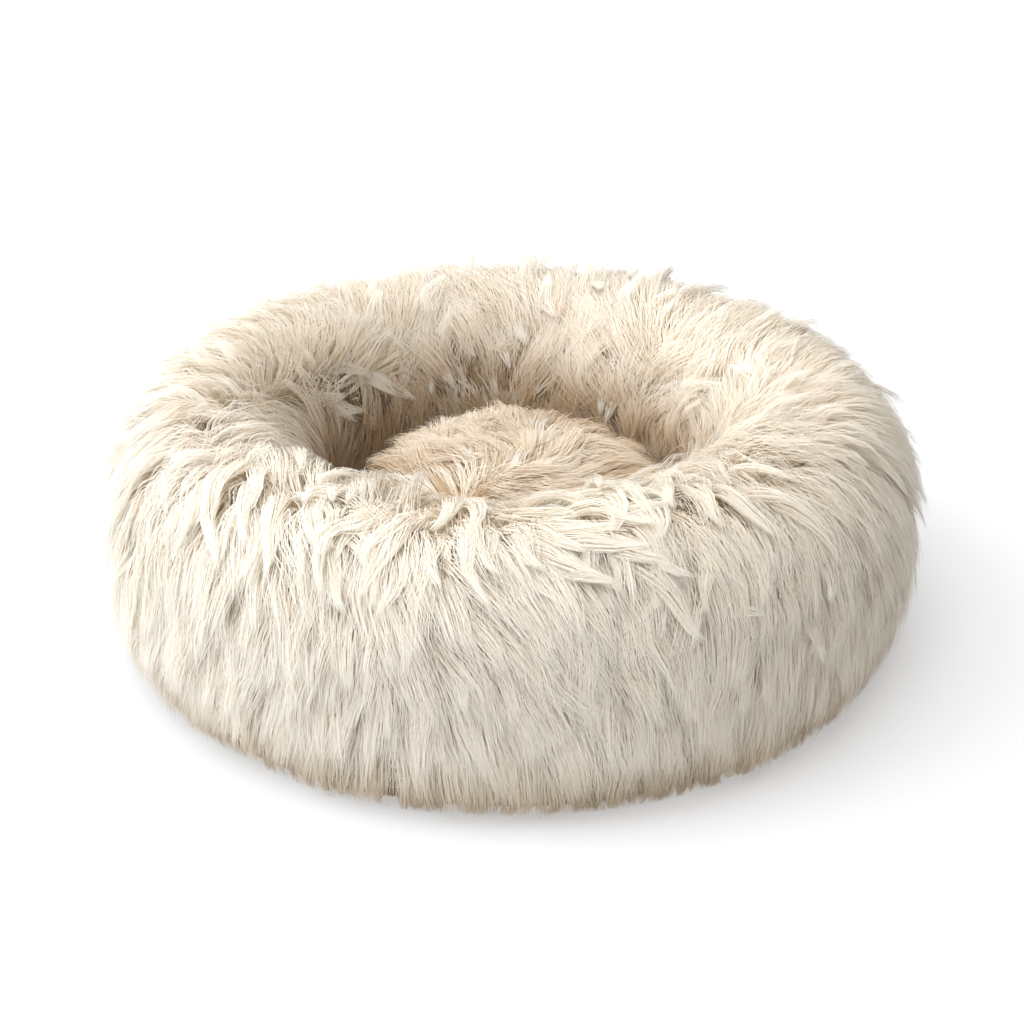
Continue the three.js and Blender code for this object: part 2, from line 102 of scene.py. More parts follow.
def faux_fur(name, root, middle, tip, streak, low, high, painted_shade):
    """Acrylic faux fur, tufted and heat-set: pale silky tips over a darker, warmer root, the root's colour being
    painted shade deep in the pile, and light glows through it.

    From the height high down to low its colour is darkened and warmed towards the last colour given: painted
    shade, standing in for the shade near the floor and deep in the well.
    """
    material, tree = blank_material(name)
    strand = add(tree, "ShaderNodeUVMap", {"uv_map": "strand"})
    along = add(tree, "ShaderNodeSeparateXYZ", links={0: strand.outputs[0]})
    tint = add(tree, "ShaderNodeAttribute", {"attribute_name": "tint"})
    # Painted shade: the colour runs from a darker, warmer root to a pale tip, standing in for the shade deep in
    # the pile.
    ramp = add(tree, "ShaderNodeValToRGB", links={0: along.outputs["Y"]})
    ramp.color_ramp.elements[0].color = linear(root)
    ramp.color_ramp.elements[0].position = 0.05
    ramp.color_ramp.elements[1].color = linear(tip)
    ramp.color_ramp.elements[1].position = 0.85
    ramp.color_ramp.elements.new(0.42).color = linear(middle)
    # Each ribbon of pile shows as a few finer hairs.
    hairs = add(tree, "ShaderNodeCombineXYZ", links={0: along.outputs["X"], 2: tint.outputs["Fac"]})
    fine = add(tree, "ShaderNodeTexNoise", {"Scale": 5.0, "Detail": 1.0}, {"Vector": hairs.outputs[0]})
    # The dye lot drifts a little over the hide, in blotches of about 60 mm.
    place = add(tree, "ShaderNodeTexCoord")
    drift = add(
        tree, "ShaderNodeTexNoise", {"Scale": 1 / 0.06, "Detail": 2.0}, {"Vector": place.outputs["Object"]}
    )
    streaks = add(
        tree, "ShaderNodeMapRange", {"To Min": 1 - streak, "To Max": 1 + streak}, {"Value": fine.outputs["Fac"]}
    )
    blotches = add(tree, "ShaderNodeMapRange", {"To Min": 0.96, "To Max": 1.02}, {"Value": drift.outputs["Fac"]})
    shade = add(
        tree, "ShaderNodeMath", {"operation": "MULTIPLY"}, {0: streaks.outputs[0], 1: blotches.outputs[0]}
    )
    each = add(tree, "ShaderNodeMapRange", {"To Min": 0.97, "To Max": 1.02}, {"Value": tint.outputs["Fac"]})
    whole = add(tree, "ShaderNodeMath", {"operation": "MULTIPLY"}, {0: shade.outputs[0], 1: each.outputs[0]})
    even = add(
        tree,
        "ShaderNodeVectorMath",
        {"operation": "SCALE"},
        {0: ramp.outputs["Color"], "Scale": whole.outputs[0]},
    )
    # Painted shade: from the height high down to low the colour is darkened and warmed towards the shade colour,
    # as if shaded near the floor or deep in the well.
    height = add(tree, "ShaderNodeSeparateXYZ", links={0: place.outputs["Object"]})
    depth = add(
        tree,
        "ShaderNodeMapRange",
        {"From Min": low, "From Max": high, "interpolation_type": "SMOOTHSTEP"},
        {"Value": height.outputs["Z"]},
    )
    painted_shade_mix = add(tree, "ShaderNodeMix", {"data_type": "RGBA"}, {"Factor": depth.outputs[0]})
    painted_shade_mix.inputs["A"].default_value = linear(painted_shade)
    painted_shade_mix.inputs["B"].default_value = (1.0, 1.0, 1.0, 1.0)
    colour = add(
        tree, "ShaderNodeVectorMath", {"operation": "MULTIPLY"}, {0: even.outputs[0], 1: painted_shade_mix.outputs["Result"]}
    )
    hair = add(
        tree,
        "ShaderNodeBsdfPrincipled",
        {"Roughness": 0.72, "Specular IOR Level": 0.28, "Sheen Weight": 0.18, "Sheen Roughness": 0.45},
        {"Base Color": colour.outputs[0]},
    )
    through = add(tree, "ShaderNodeBsdfTranslucent", links={"Color": colour.outputs[0]})
    both = add(tree, "ShaderNodeMixShader", {"Fac": 0.42}, {1: hair.outputs[0], 2: through.outputs[0]})
    finish_material(tree, both.outputs[0])
    return material


# A Wave texture repeats every pi / 10 metres at a Scale of one.
WAVE_PERIOD = math.pi / 10


def woven_cloth(name, colour, shade, pitch, roughness=0.82, depth=0.25, sheen=0.1):
    """Plain-woven cloth: two crossing sets of threads at a real pitch, which show as a fine checked relief."""
    material, tree = blank_material(name)
    place = add(tree, "ShaderNodeTexCoord").outputs["Object"]
    thread = {"Scale": WAVE_PERIOD / pitch, "Distortion": 0.4}
    warp = add(tree, "ShaderNodeTexWave", thread, {"Vector": place})
    weft = add(tree, "ShaderNodeTexWave", {"bands_direction": "Y", **thread}, {"Vector": place})
    cross = add(
        tree, "ShaderNodeMath", {"operation": "MAXIMUM"}, {0: warp.outputs["Fac"], 1: weft.outputs["Fac"]}
    )
    slub = add(tree, "ShaderNodeTexNoise", {"Scale": 90.0, "Detail": 3.0}, {"Vector": place})
    mixed = add(tree, "ShaderNodeMix", {"data_type": "RGBA"}, {"Factor": cross.outputs[0]})
    mixed.inputs["A"].default_value = linear(shade)
    mixed.inputs["B"].default_value = linear(colour)
    worn = add(tree, "ShaderNodeMapRange", {"To Min": 0.9, "To Max": 1.06}, {"Value": slub.outputs["Fac"]})
    tone = add(
        tree,
        "ShaderNodeVectorMath",
        {"operation": "SCALE"},
        {0: mixed.outputs["Result"], "Scale": worn.outputs[0]},
    )
    bump = add(tree, "ShaderNodeBump", {"Strength": depth, "Distance": pitch * 0.4}, {"Height": cross.outputs[0]})
    cloth = add(
        tree,
        "ShaderNodeBsdfPrincipled",
        {"Roughness": roughness, "Specular IOR Level": 0.3, "Sheen Weight": sheen, "Sheen Roughness": 0.5},
        {"Base Color": tone.outputs[0], "Normal": bump.outputs[0]},
    )
    finish_material(tree, cloth.outputs[0])
    return material


def matted_fibre(name, colour, shade, size, roughness=0.92, depth=0.6):
    """Loose or bonded fibre, carded and heat-bonded: cloudy, with a faint tangle of hairs."""
    material, tree = blank_material(name)
    place = add(tree, "ShaderNodeTexCoord").outputs["Object"]
    clouds = add(tree, "ShaderNodeTexNoise", {"Scale": 1 / (size * 4), "Detail": 3.0}, {"Vector": place})
    tangle = add(
        tree, "ShaderNodeTexNoise", {"Scale": 1 / size, "Detail": 5.0, "Distortion": 1.5}, {"Vector": place}
    )
    mixed = add(tree, "ShaderNodeMix", {"data_type": "RGBA"}, {"Factor": clouds.outputs["Fac"]})
    mixed.inputs["A"].default_value = linear(shade)
    mixed.inputs["B"].default_value = linear(colour)
    bump = add(
        tree, "ShaderNodeBump", {"Strength": depth, "Distance": size * 0.5}, {"Height": tangle.outputs["Fac"]}
    )
    fibre = add(
        tree,
        "ShaderNodeBsdfPrincipled",
        {"Roughness": roughness, "Specular IOR Level": 0.25, "Sheen Weight": 0.15},
        {"Base Color": mixed.outputs["Result"], "Normal": bump.outputs[0]},
    )
    finish_material(tree, fibre.outputs[0])
    return material


def moulded_plastic(name, colour, roughness, grain):
    """Moulded soft plastic: an even tone with a faint orange-peel skin."""
    material, tree = blank_material(name)
    place = add(tree, "ShaderNodeTexCoord").outputs["Object"]
    peel = add(tree, "ShaderNodeTexNoise", {"Scale": 1 / grain, "Detail": 2.0}, {"Vector": place})
    bump = add(
        tree, "ShaderNodeBump", {"Strength": 0.15, "Distance": grain * 0.2}, {"Height": peel.outputs["Fac"]}
    )
    limits = {"To Min": roughness - 0.06, "To Max": roughness + 0.06}
    rough = add(tree, "ShaderNodeMapRange", limits, {"Value": peel.outputs["Fac"]})
    plastic = add(
        tree,
        "ShaderNodeBsdfPrincipled",
        {"Base Color": linear(colour), "IOR": 1.5},
        {"Roughness": rough.outputs[0], "Normal": bump.outputs[0]},
    )
    finish_material(tree, plastic.outputs[0])
    return material


def plated_zinc(name):
    """Die-cast zinc, tumbled and nickel-plated: bright, with fine rubbed scratches where fingers hold it."""
    material, tree = blank_material(name)
    place = add(tree, "ShaderNodeTexCoord").outputs["Object"]
    stretch = add(tree, "ShaderNodeMapping", {"Scale": (900.0, 900.0, 5000.0)}, {"Vector": place})
    rub = add(tree, "ShaderNodeTexNoise", {"Scale": 1.0, "Detail": 3.0}, {"Vector": stretch.outputs[0]})
    rough = add(tree, "ShaderNodeMapRange", {"To Min": 0.22, "To Max": 0.42}, {"Value": rub.outputs["Fac"]})
    bump = add(tree, "ShaderNodeBump", {"Strength": 0.08, "Distance": 0.0001}, {"Height": rub.outputs["Fac"]})
    metal = add(
        tree,
        "ShaderNodeBsdfPrincipled",
        {"Base Color": linear("C4C3C0"), "Metallic": 1.0},
        {"Roughness": rough.outputs[0], "Normal": bump.outputs[0]},
    )
    finish_material(tree, metal.outputs[0])
    return material


def light_table(name):
    """Opal acrylic light table, matt-sanded: nearly even and softly glowing, so shadows on it stay pale."""
    material, tree = blank_material(name)
    place = add(tree, "ShaderNodeTexCoord").outputs["Object"]
    mottle = add(tree, "ShaderNodeTexNoise", {"Scale": 3.0, "Detail": 2.0}, {"Vector": place})
    mixed = add(tree, "ShaderNodeMix", {"data_type": "RGBA"}, {"Factor": mottle.outputs["Fac"]})
    mixed.inputs["A"].default_value = linear("ABABAB")
    mixed.inputs["B"].default_value = linear("AEAEAE")
    opal = add(
        tree,
        "ShaderNodeBsdfPrincipled",
        {"Roughness": 0.9, "Emission Color": linear("FFFFFF"), "Emission Strength": 0.36},
        {"Base Color": mixed.outputs["Result"]},
    )
    finish_material(tree, opal.outputs[0])
    return material


MATERIALS = {}


def materials():
    """All of the bed's materials, made once."""
    if MATERIALS:
        return MATERIALS
    MATERIALS.update(
        # The fur carries painted shade: darker, warmer roots, and darker and warmer below 55 mm, towards the
        # floor.
        fur=faux_fur("faux fur, tufted acrylic pile", "F1E5D2", "F8F1E4", "FCF8EE", 0.04, 0.0, 0.055, "E8DCCA"),
        # The well's fur is a darker, warmer copy of the fur, painted shade, and darker still from 150 mm down to
        # 100 mm, deep in the well; the cushion wears it too.
        well=faux_fur(
            "faux fur, tufted acrylic pile in the well",
            "E2D0B2",
            "F0E4D0",
            "F9F3E7",
            0.05,
            0.100,
            0.150,
            "E6D7C1",
        ),
        # The underpile carries painted shade too: darker roots, and darker below 55 mm, towards the floor.
        underfur=faux_fur("faux fur, short underpile", "EBDDC6", "F5EDDE", "FAF4E9", 0.05, 0.0, 0.055, "E8DCCA"),
        knit=woven_cloth("faux fur backing, warp-knit", "EADDC8", "D2BF9F", 0.0016),
        oxford=woven_cloth("Oxford polyester, plain-woven", "D2C9BB", "A99E8E", 0.0012),
        nonwoven=matted_fibre("lining, spun-bonded non-woven", "F6F5F1", "E2DFD6", 0.0011, 0.85, 0.35),
        fibre=matted_fibre("hollow fibre filling, carded", "FBFBFA", "E9E8E4", 0.0024),
        tape=woven_cloth("zip tape, woven twill", "E8DFD0", "C4B8A3", 0.0010),
        binding=woven_cloth("bias binding, woven cotton", "DED2BE", "B5A78E", 0.0009),
        thread=matted_fibre("sewing thread, spun polyester", "EFE7D9", "C9BDA8", 0.0006, 0.7, 0.4),
        nylon=moulded_plastic("zip coil, moulded nylon", "E9E2D4", 0.42, 0.0012),
        stud=moulded_plastic("grip studs, printed soft PVC", "BDB4A6", 0.6, 0.0016),
        metal=plated_zinc("zip slider, nickel-plated zinc"),
        satin=woven_cloth("label, woven satin", "FCFBF8", "E6E3DC", 0.0005, 0.42, 0.1, 0.25),
        floor=light_table("studio table, opal acrylic"),
    )
    return MATERIALS


# ---- Mesh helpers ----


def own_object(name, mesh):
    obj = bpy.data.objects.new(name, mesh)
    bpy.context.scene.collection.objects.link(obj)
    return obj


def only(obj):
    """Selects this object alone, and makes it the active one."""
    bpy.ops.object.select_all(action="DESELECT")
    obj.select_set(True)
    bpy.context.view_layer.objects.active = obj


def apply_modifiers(obj):
    only(obj)
    for modifier in list(obj.modifiers):
        bpy.ops.object.modifier_apply(modifier=modifier.name)


def coordinates(mesh):
    flat = np.empty(len(mesh.vertices) * 3, np.float64)
    mesh.vertices.foreach_get("co", flat)
    return flat.reshape(-1, 3)


def vertex_normals(mesh):
    flat = np.empty(len(mesh.vertices) * 3, np.float64)
    mesh.vertices.foreach_get("normal", flat)
    return flat.reshape(-1, 3)


def set_coordinates(mesh, points):
    mesh.vertices.foreach_set("co", np.asarray(points, np.float32).ravel())
    mesh.update()


def unit(vectors):
    return vectors / np.maximum(np.linalg.norm(vectors, axis=-1, keepdims=True), 1e-9)


def smooth_step(low, high, value):
    t = np.clip((value - low) / (high - low), 0, 1)
    return t * t * (3 - 2 * t)


# ---- Padded pieces: the fillings ----


def stuffed(name, node, voxel, inset, pressure, cap):
    """A stuffed form: a CAD solid's shape, drawn in a little, remeshed, swollen as cloth and held to a cap."""
    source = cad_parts[node].data.copy()
    whole = bmesh.new()
    whole.from_mesh(source)
    bmesh.ops.remove_doubles(whole, verts=whole.verts, dist=1e-5)
    bmesh.ops.recalc_face_normals(whole, faces=whole.faces)
    whole.to_mesh(source)
    whole.free()
    obj = own_object(name, source)
    set_coordinates(source, coordinates(source) - vertex_normals(source) * inset)
    remesh = obj.modifiers.new("remesh", "REMESH")
    remesh.mode = "VOXEL"
    remesh.voxel_size = voxel
    apply_modifiers(obj)
    smoothing = obj.modifiers.new("smooth", "SMOOTH")
    smoothing.factor = 0.5
    smoothing.iterations = 6
    apply_modifiers(obj)
    rest = coordinates(obj.data)
    cloth = obj.modifiers.new("cloth", "CLOTH")
    cloth.settings.quality = 5
    cloth.settings.use_pressure = True
    cloth.settings.uniform_pressure_force = pressure
    cloth.settings.effector_weights.gravity = 0
    cloth.settings.tension_stiffness = 12
    cloth.settings.compression_stiffness = 12
    cloth.settings.bending_stiffness = 0.4
    for step in range(1, 21):
        bpy.context.scene.frame_set(step)
    apply_modifiers(obj)
    move = coordinates(obj.data) - rest
    reach = np.linalg.norm(move, axis=1, keepdims=True)
    set_coordinates(obj.data, rest + move * np.minimum(1, cap / np.maximum(reach, 1e-9)))
    bpy.context.scene.frame_set(1)
    obj.data.shade_smooth()
    return obj


def part_of(name, source, keep, offset, thickness):
    """A cloth cut from a stuffed form: the faces whose middles pass keep, moved out by offset and thickened."""
    mesh = source.data.copy()
    set_coordinates(mesh, coordinates(mesh) + vertex_normals(mesh) * offset)
    work = bmesh.new()
    work.from_mesh(mesh)
    dropped = [face for face in work.faces if not keep(face.calc_center_median())]
    bmesh.ops.delete(work, geom=dropped, context="FACES")
    work.to_mesh(mesh)
    work.free()
    obj = own_object(name, mesh)
    solidify = obj.modifiers.new("cloth", "SOLIDIFY")
    solidify.thickness = thickness
    solidify.offset = -1
    apply_modifiers(obj)
    obj.data.shade_smooth()
    return obj


# ---- Sewn and moulded pieces ----


def turned(name, section, start, sweep, steps):
    """A closed section of (radius, height) points turned about Z, from start over sweep degrees."""
    full = sweep >= 360
    bpy.ops.object.select_all(action="DESELECT")
    bpy.ops.mesh.primitive_circle_add(
        vertices=len(section), radius=0.01, fill_type="NOTHING" if full else "NGON", location=(0, 0, 0)
    )
    obj = bpy.context.object
    obj.name = name
    angle = math.radians(start)
    for vertex, (radius, height) in zip(obj.data.vertices, section):
        vertex.co = (radius * math.cos(angle), radius * math.sin(angle), height)
    bpy.ops.object.mode_set(mode="EDIT")
    bpy.ops.mesh.select_all(action="SELECT")
    bpy.ops.mesh.spin(steps=steps, angle=math.radians(sweep), center=(0, 0, 0), axis=(0, 0, -1))
    bpy.ops.mesh.select_all(action="SELECT")
    bpy.ops.mesh.remove_doubles(threshold=1e-6)
    bpy.ops.mesh.delete_loose()
    bpy.ops.mesh.select_all(action="SELECT")
    bpy.ops.mesh.normals_make_consistent(inside=False)
    bpy.ops.object.mode_set(mode="OBJECT")
    obj.data.shade_smooth()
    bpy.ops.object.shade_smooth_by_angle(angle=math.radians(40))
    return obj


def cloth_section(points, thickness):
    """The section of a cloth of this thickness, whose lower face follows the points from the axis outwards."""
    return points + [(radius, height + thickness) for radius, height in reversed(points)]


def pucker(obj, radius, reach, height, count, rng):
    """Gathers a turned cloth in small uneven waves near a sewn edge."""
    points = coordinates(obj.data)
    away = np.abs(np.hypot(points[:, 0], points[:, 1]) - radius)
    angle = np.arctan2(points[:, 1], points[:, 0])
    wave = np.sin(count * angle + rng.uniform(0, 6))
    wave += 0.6 * np.sin(round(count * 0.62) * angle + rng.uniform(0, 6))
    points[:, 2] += height * wave * smooth_step(reach, 0.0, away)
    set_coordinates(obj.data, points)


def repeated(name, one, places):
    """One mesh of copies of a small shape, one at each place (a 4x4 matrix), and the shape itself removed."""
    shape = np.c_[coordinates(one.data), np.ones(len(one.data.vertices))]
    faces = [list(face.vertices) for face in one.data.polygons]
    points = np.concatenate([shape @ np.array(place).T[:, :3] for place in places])
    count = len(shape)
    corners = [[v + k * count for v in face] for k in range(len(places)) for face in faces]
    mesh = bpy.data.meshes.new(name)
    mesh.from_pydata(points.tolist(), [], corners)
    mesh.update()
    bpy.data.objects.remove(one)
    obj = own_object(name, mesh)
    only(obj)
    bpy.ops.object.shade_smooth_by_angle(angle=math.radians(40))
    return obj


def round_places(radius, height, start, sweep, pitch):
    """Places at an even pitch along an arc about Z, each turned so that its own X points outwards."""
    count = max(1, round(math.radians(sweep) * radius / pitch))
    spots = []
    for k in range(count):
        angle = math.radians(start + sweep * (k + 0.5) / count)
        spots.append(Matrix.Rotation(angle, 4, "Z") @ Matrix.Translation((radius, 0, height)))
    return spots


def stitch_shape():
    """One sewn stitch: a short thread lying along Y."""
    bpy.ops.object.select_all(action="DESELECT")
    bpy.ops.mesh.primitive_uv_sphere_add(segments=6, ring_count=5, radius=0.0005, location=(0, 0, 0))
    stitch = bpy.context.object
    points = coordinates(stitch.data)
    set_coordinates(stitch.data, points[:, [0, 2, 1]] * np.array([0.6, 2.6, -0.5]))
    return stitch


def coil_tooth():
    """One loop of a nylon coil: a bar across the row whose head swells towards the middle of the zip."""
    bpy.ops.object.select_all(action="DESELECT")
    bpy.ops.mesh.primitive_cube_add(size=1, location=(0, 0, 0))
    tooth = bpy.context.object
    bpy.ops.object.mode_set(mode="EDIT")
    bpy.ops.mesh.select_all(action="SELECT")
    bpy.ops.transform.resize(value=(0.0026, 0.0007, 0.0021))
    bpy.ops.object.mode_set(mode="OBJECT")
    for vertex in tooth.data.vertices:
        if vertex.co.x > 0:
            vertex.co.y *= 1.35
    edge = tooth.modifiers.new("edge", "BEVEL")
    edge.width = 0.00026
    edge.segments = 1
    edge.limit_method = "NONE"
    apply_modifiers(tooth)
    return tooth


def bevelled(name, node, width):
    """A cast piece with its sharp edges tumbled round, from a CAD node's shape."""
    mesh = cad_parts[node].data.copy()
    obj = own_object(name, mesh)
    only(obj)
    bpy.ops.object.mode_set(mode="EDIT")
    bpy.ops.mesh.select_all(action="SELECT")
    bpy.ops.mesh.remove_doubles(threshold=1e-6)
    bpy.ops.mesh.dissolve_limited(angle_limit=math.radians(1))
    bpy.ops.object.mode_set(mode="OBJECT")
    edge = obj.modifiers.new("edge", "BEVEL")
    edge.width = width
    edge.segments = 2
    edge.limit_method = "ANGLE"
    edge.angle_limit = math.radians(35)
    edge.use_clamp_overlap = True
    apply_modifiers(obj)
    only(obj)
    bpy.ops.object.shade_smooth_by_angle(angle=math.radians(35))
    return obj


def stand_for(obj, node, body, material):
    """Dresses a piece, and puts it in a CAD node's place."""
    dress(obj, material)
    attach(obj, body)
    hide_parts(node)


def along(points):
    """The length along a section, which is how far its cloth reached when it lay flat."""
    return sum(math.dist(a, b) for a, b in zip(points, points[1:]))


# ---- Fur ----


class Form:
    """A turned, rounded form that fur grows on: how far a point is from it, and which way is out."""

    def __init__(self, middle, waist, half_width, rise, drop, over, under, skirt, hem):
        self.middle = middle
        self.waist = waist
        self.half_width = half_width
        self.rise = rise
        self.drop = drop
        self.over = over
        self.under = under
        self.skirt = skirt
        self.hem = hem

    def turned_out(self, paths):
        """The paths with the outer hairs' low points moved outwards, clear of the tape under the hem."""
        radius = np.maximum(np.hypot(paths[..., 0], paths[..., 1]), 1e-6)
        short = np.maximum(self.skirt - radius, 0) * (radius[:, :1] > self.middle)
        moved = 1 + short * smooth_step(self.hem + 0.011, self.hem, paths[..., 2]) / radius
        return paths * np.stack([moved, moved, np.ones_like(moved)], -1)

    def lie(self, p):
        """Each point's height above the form, its outward direction in the section, and its radial direction."""
        radius = np.maximum(np.hypot(p[..., 0], p[..., 1]), 1e-6)
        u = (radius - self.middle) / self.half_width
        above = p[..., 2] > self.waist
        tall = np.where(above, self.rise, self.drop)
        v = (p[..., 2] - self.waist) / tall
        e = np.where(above, self.over, self.under)
        a = np.maximum(np.abs(u), 1e-6)
        b = np.maximum(np.abs(v), 1e-6)
        q = (a**e + b**e) ** (1 / e)
        across = q ** (1 - e) * a ** (e - 1) * np.sign(u) / self.half_width
        up = q ** (1 - e) * b ** (e - 1) * np.sign(v) / tall
        steep = np.hypot(across, up)
        radial = np.stack([p[..., 0] / radius, p[..., 1] / radius, np.zeros_like(radius)], -1)
        return (q - 1) / steep, across / steep, up / steep, radial


HEM_ROOTS = 0.259
# The lowest that a hair of the well or the cushion hangs, just over the floor lining.
WELL_FLOOR = 0.0127
# How many lengths a long and a short hair are made of.
LOCK_STEPS = 5
UNDER_STEPS = 3
UNDER_WIDTH = 2.0
CUSHION_UNDER = 8000
RING = Form(0.214, 0.0915, 0.057, 0.0765, 0.0765, 2.3, 3.0, skirt=0.2728, hem=0.013)
PAD = Form(0.0, 0.066, 0.099, 0.049, 0.051, 2.7, 2.6, skirt=0.1105, hem=0.033)


def scatter(obj, count, rng, keep):
    """Points spread evenly by area over a form's faces, where keep allows them, with the form's normals there."""
    mesh = obj.data
    mesh.calc_loop_triangles()
    corners = np.empty(len(mesh.loop_triangles) * 3, np.int64)
    mesh.loop_triangles.foreach_get("vertices", corners)
    corners = corners.reshape(-1, 3)
    points = coordinates(mesh)
    normals = vertex_normals(mesh)
    middle = points[corners].mean(1)
    area = np.linalg.norm(
        np.cross(points[corners[:, 1]] - points[corners[:, 0]], points[corners[:, 2]] - points[corners[:, 0]]),
        axis=1,
    )
    weight = area * keep(middle)
    weight = weight / weight.sum()
    chosen = corners[rng.choice(len(corners), count, p=weight)]
    a = rng.random((count, 1))
    b = rng.random((count, 1))
    over = (a + b) > 1
    a = np.where(over, 1 - a, a)
    b = np.where(over, 1 - b, b)
    c = 1 - a - b
    place = points[chosen[:, 0]] * a + points[chosen[:, 1]] * b + points[chosen[:, 2]] * c
    return place, unit(normals[chosen[:, 0]] * a + normals[chosen[:, 1]] * b + normals[chosen[:, 2]] * c)


def waves(rng, count, low, high):
    """A smooth random function of place: a sum of plane waves with lengths from low to high."""
    directions = unit(rng.normal(size=(count, 3)))
    lengths = rng.uniform(low, high, count)
    phases = rng.uniform(0, 2 * math.pi, count)

    def value(p):
        angles = (p @ directions.T) * (2 * math.pi / lengths) + phases
        return np.sin(angles).sum(-1) / math.sqrt(count)

    return value


def grow(form, roots, groom, steps, floor):
    """Walks each hair from its root over the form, steered by its groom, and keeps it above the floor."""
    path = [roots]
    place = roots.copy()
    step = (groom["length"] / steps)[:, None]
    for k in range(steps):
        t = (k + 0.5) / steps
        height, across, up, radial = form.lie(place)
        out = radial * across[:, None] + np.array([0, 0, 1.0]) * up[:, None]
        side = groom["side"]
        fall = radial * (side * up)[:, None] - np.array([0, 0, 1.0]) * (side * across)[:, None]
        fall = fall + groom["comb"]
        fall = unit(fall - out * (fall * out).sum(-1, keepdims=True))
        sideways = np.cross(out, fall)
        turn = groom["turn"] + groom["swirl"] * t
        along = fall * np.cos(turn)[:, None] + sideways * np.sin(turn)[:, None]
        climb = groom["lift"] * np.clip(1 - height / groom["pile"], -0.6, 1)
        heading = along * np.cos(climb)[:, None] + out * np.sin(climb)[:, None]
        heading[:, 2] -= groom["droop"] * t
        place = place + unit(heading) * step
        low = floor + groom["hem"]
        place[:, 2] = np.where(place[:, 2] < low, low + 0.15 * (place[:, 2] - low), place[:, 2])
        place[:, 2] = np.maximum(place[:, 2], floor)
        path.append(place)
    return np.stack(path, 1)


def curl(paths, form, amplitude, turns, phase):
    """The sideways wander of a curled lock along its length, as an offset from its path."""
    t = np.linspace(0, 1, paths.shape[1])[None, :]
    tangent = unit(np.gradient(paths, axis=1))
    _, across, up, radial = form.lie(paths)
    out = radial * across[..., None] + np.array([0, 0, 1.0]) * up[..., None]
    beside = unit(np.cross(tangent, out))
    angle = phase[:, None] + turns[:, None] * 2 * math.pi * t
    grown = amplitude[:, None] * t**1.2
    swing = (np.cos(angle) - np.cos(phase)[:, None]) * grown
    bob = (np.sin(angle) - np.sin(phase)[:, None]) * grown * 0.55
    return beside * swing[..., None] + out * bob[..., None]


def nearest(points, centres):
    tree = KDTree(len(centres))
    for i, centre in enumerate(centres):
        tree.insert(centre, i)
    tree.balance()
    found = [tree.find(p)[1:] for p in points]
    return np.array([f[0] for f in found]), np.array([f[1] for f in found])


def pick(groom, index):
    return {key: value[index] for key, value in groom.items()}


def locks(form, obj, count, clump_count, groom_at, steps, rng, keep, floor=0.001):
    """Hairs gathered in locks: each one follows its own path at the root and its lock's path towards the tip."""
    centres, _ = scatter(obj, clump_count, rng, keep)
    clump_groom = groom_at(centres, rng)
    guides = grow(form, centres, clump_groom, steps, floor)
    swathes, _ = scatter(obj, max(clump_count // 7, 1), rng, keep)
    swathe_paths = grow(form, swathes, groom_at(swathes, rng), steps, floor)
    swathe, _ = nearest(centres, swathes)
    gather = smooth_step(0.1, 1.0, np.linspace(0, 1, steps + 1))[None, :, None]
    gather = gather * 0.55 * clump_groom["clump"][:, None, None]
    guides = guides + (swathe_paths[swathe] - guides) * gather
    wander = curl(guides, form, clump_groom["curl"], clump_groom["turns"], clump_groom["phase"])
    roots, _ = scatter(obj, count, rng, keep)
    owner, distance = nearest(roots, centres)
    own = pick(clump_groom, owner)
    edge = np.clip(distance / (np.median(distance) * 2.2), 0, 1)
    own["length"] = own["length"] * rng.uniform(0.78, 1.06, count) * (1 - 0.12 * edge)
    own["turn"] = own["turn"] + rng.normal(0, 0.2, count)
    own["pile"] = own["pile"] * (1 - 0.35 * edge**2) * rng.uniform(0.8, 1.05, count)
    paths = grow(form, roots, own, steps, floor)
    t = np.linspace(0, 1, steps + 1)[None, :, None]
    pull = own["clump"][:, None, None] * smooth_step(0.25, 1.0, t)
    loose = rng.random(count) < 0.16
    pull = np.where(loose[:, None, None], pull * 0.3, pull)
    lag = rng.uniform(0.82, 1.12, (count, 1, 1))
    paths = paths + (guides[owner] - paths) * pull + wander[owner] * lag
    paths = form.turned_out(paths)
    paths[..., 2] = np.maximum(paths[..., 2], floor)
    tints = np.clip(0.5 + 0.22 * rng.normal(size=count) + 0.2 * clump_groom["tone"][owner], 0, 1)
    return roots, paths, tints


def bundles(form, centres, groom, hairs, steps, radius, rng, floor=0.001):
    """Rope-like locks: each one is a sheaf of hairs round one curled guide, closing to a point at its tip."""
    guides = grow(form, centres, groom, steps, floor)
    guides = guides + curl(guides, form, groom["curl"], groom["turns"], groom["phase"])
    owner = np.repeat(np.arange(len(centres)), hairs)
    count = len(owner)
    paths = guides[owner]
    tangent = unit(np.gradient(paths, axis=1))
    _, across, up, radial = form.lie(paths)
    out = radial * across[..., None] + np.array([0, 0, 1.0]) * up[..., None]
    beside = unit(np.cross(tangent, out))
    above = np.cross(beside, tangent)
    t = np.linspace(0, 1, steps + 1)[None, :, None]
    spread = radius * np.sqrt(rng.random((count, 1, 1))) * (1.2 - 1.05 * t**1.6)
    round_at = rng.uniform(0, 2 * math.pi, (count, 1, 1)) + 2.2 * t * groom["turns"][owner][:, None, None]
    paths = paths + spread * (beside * np.cos(round_at) + 0.5 * above * np.sin(round_at))
    slip = rng.uniform(-0.12, 0.04, (count, 1, 1)) * t
    paths = paths + slip * (paths[:, -1:] - paths[:, :1])
    paths = form.turned_out(paths)
    paths[..., 2] = np.maximum(paths[..., 2], floor)
    tints = np.clip(0.45 + 0.2 * rng.normal(size=count) + 0.15 * groom["tone"][owner], 0, 1)
    return paths, tints


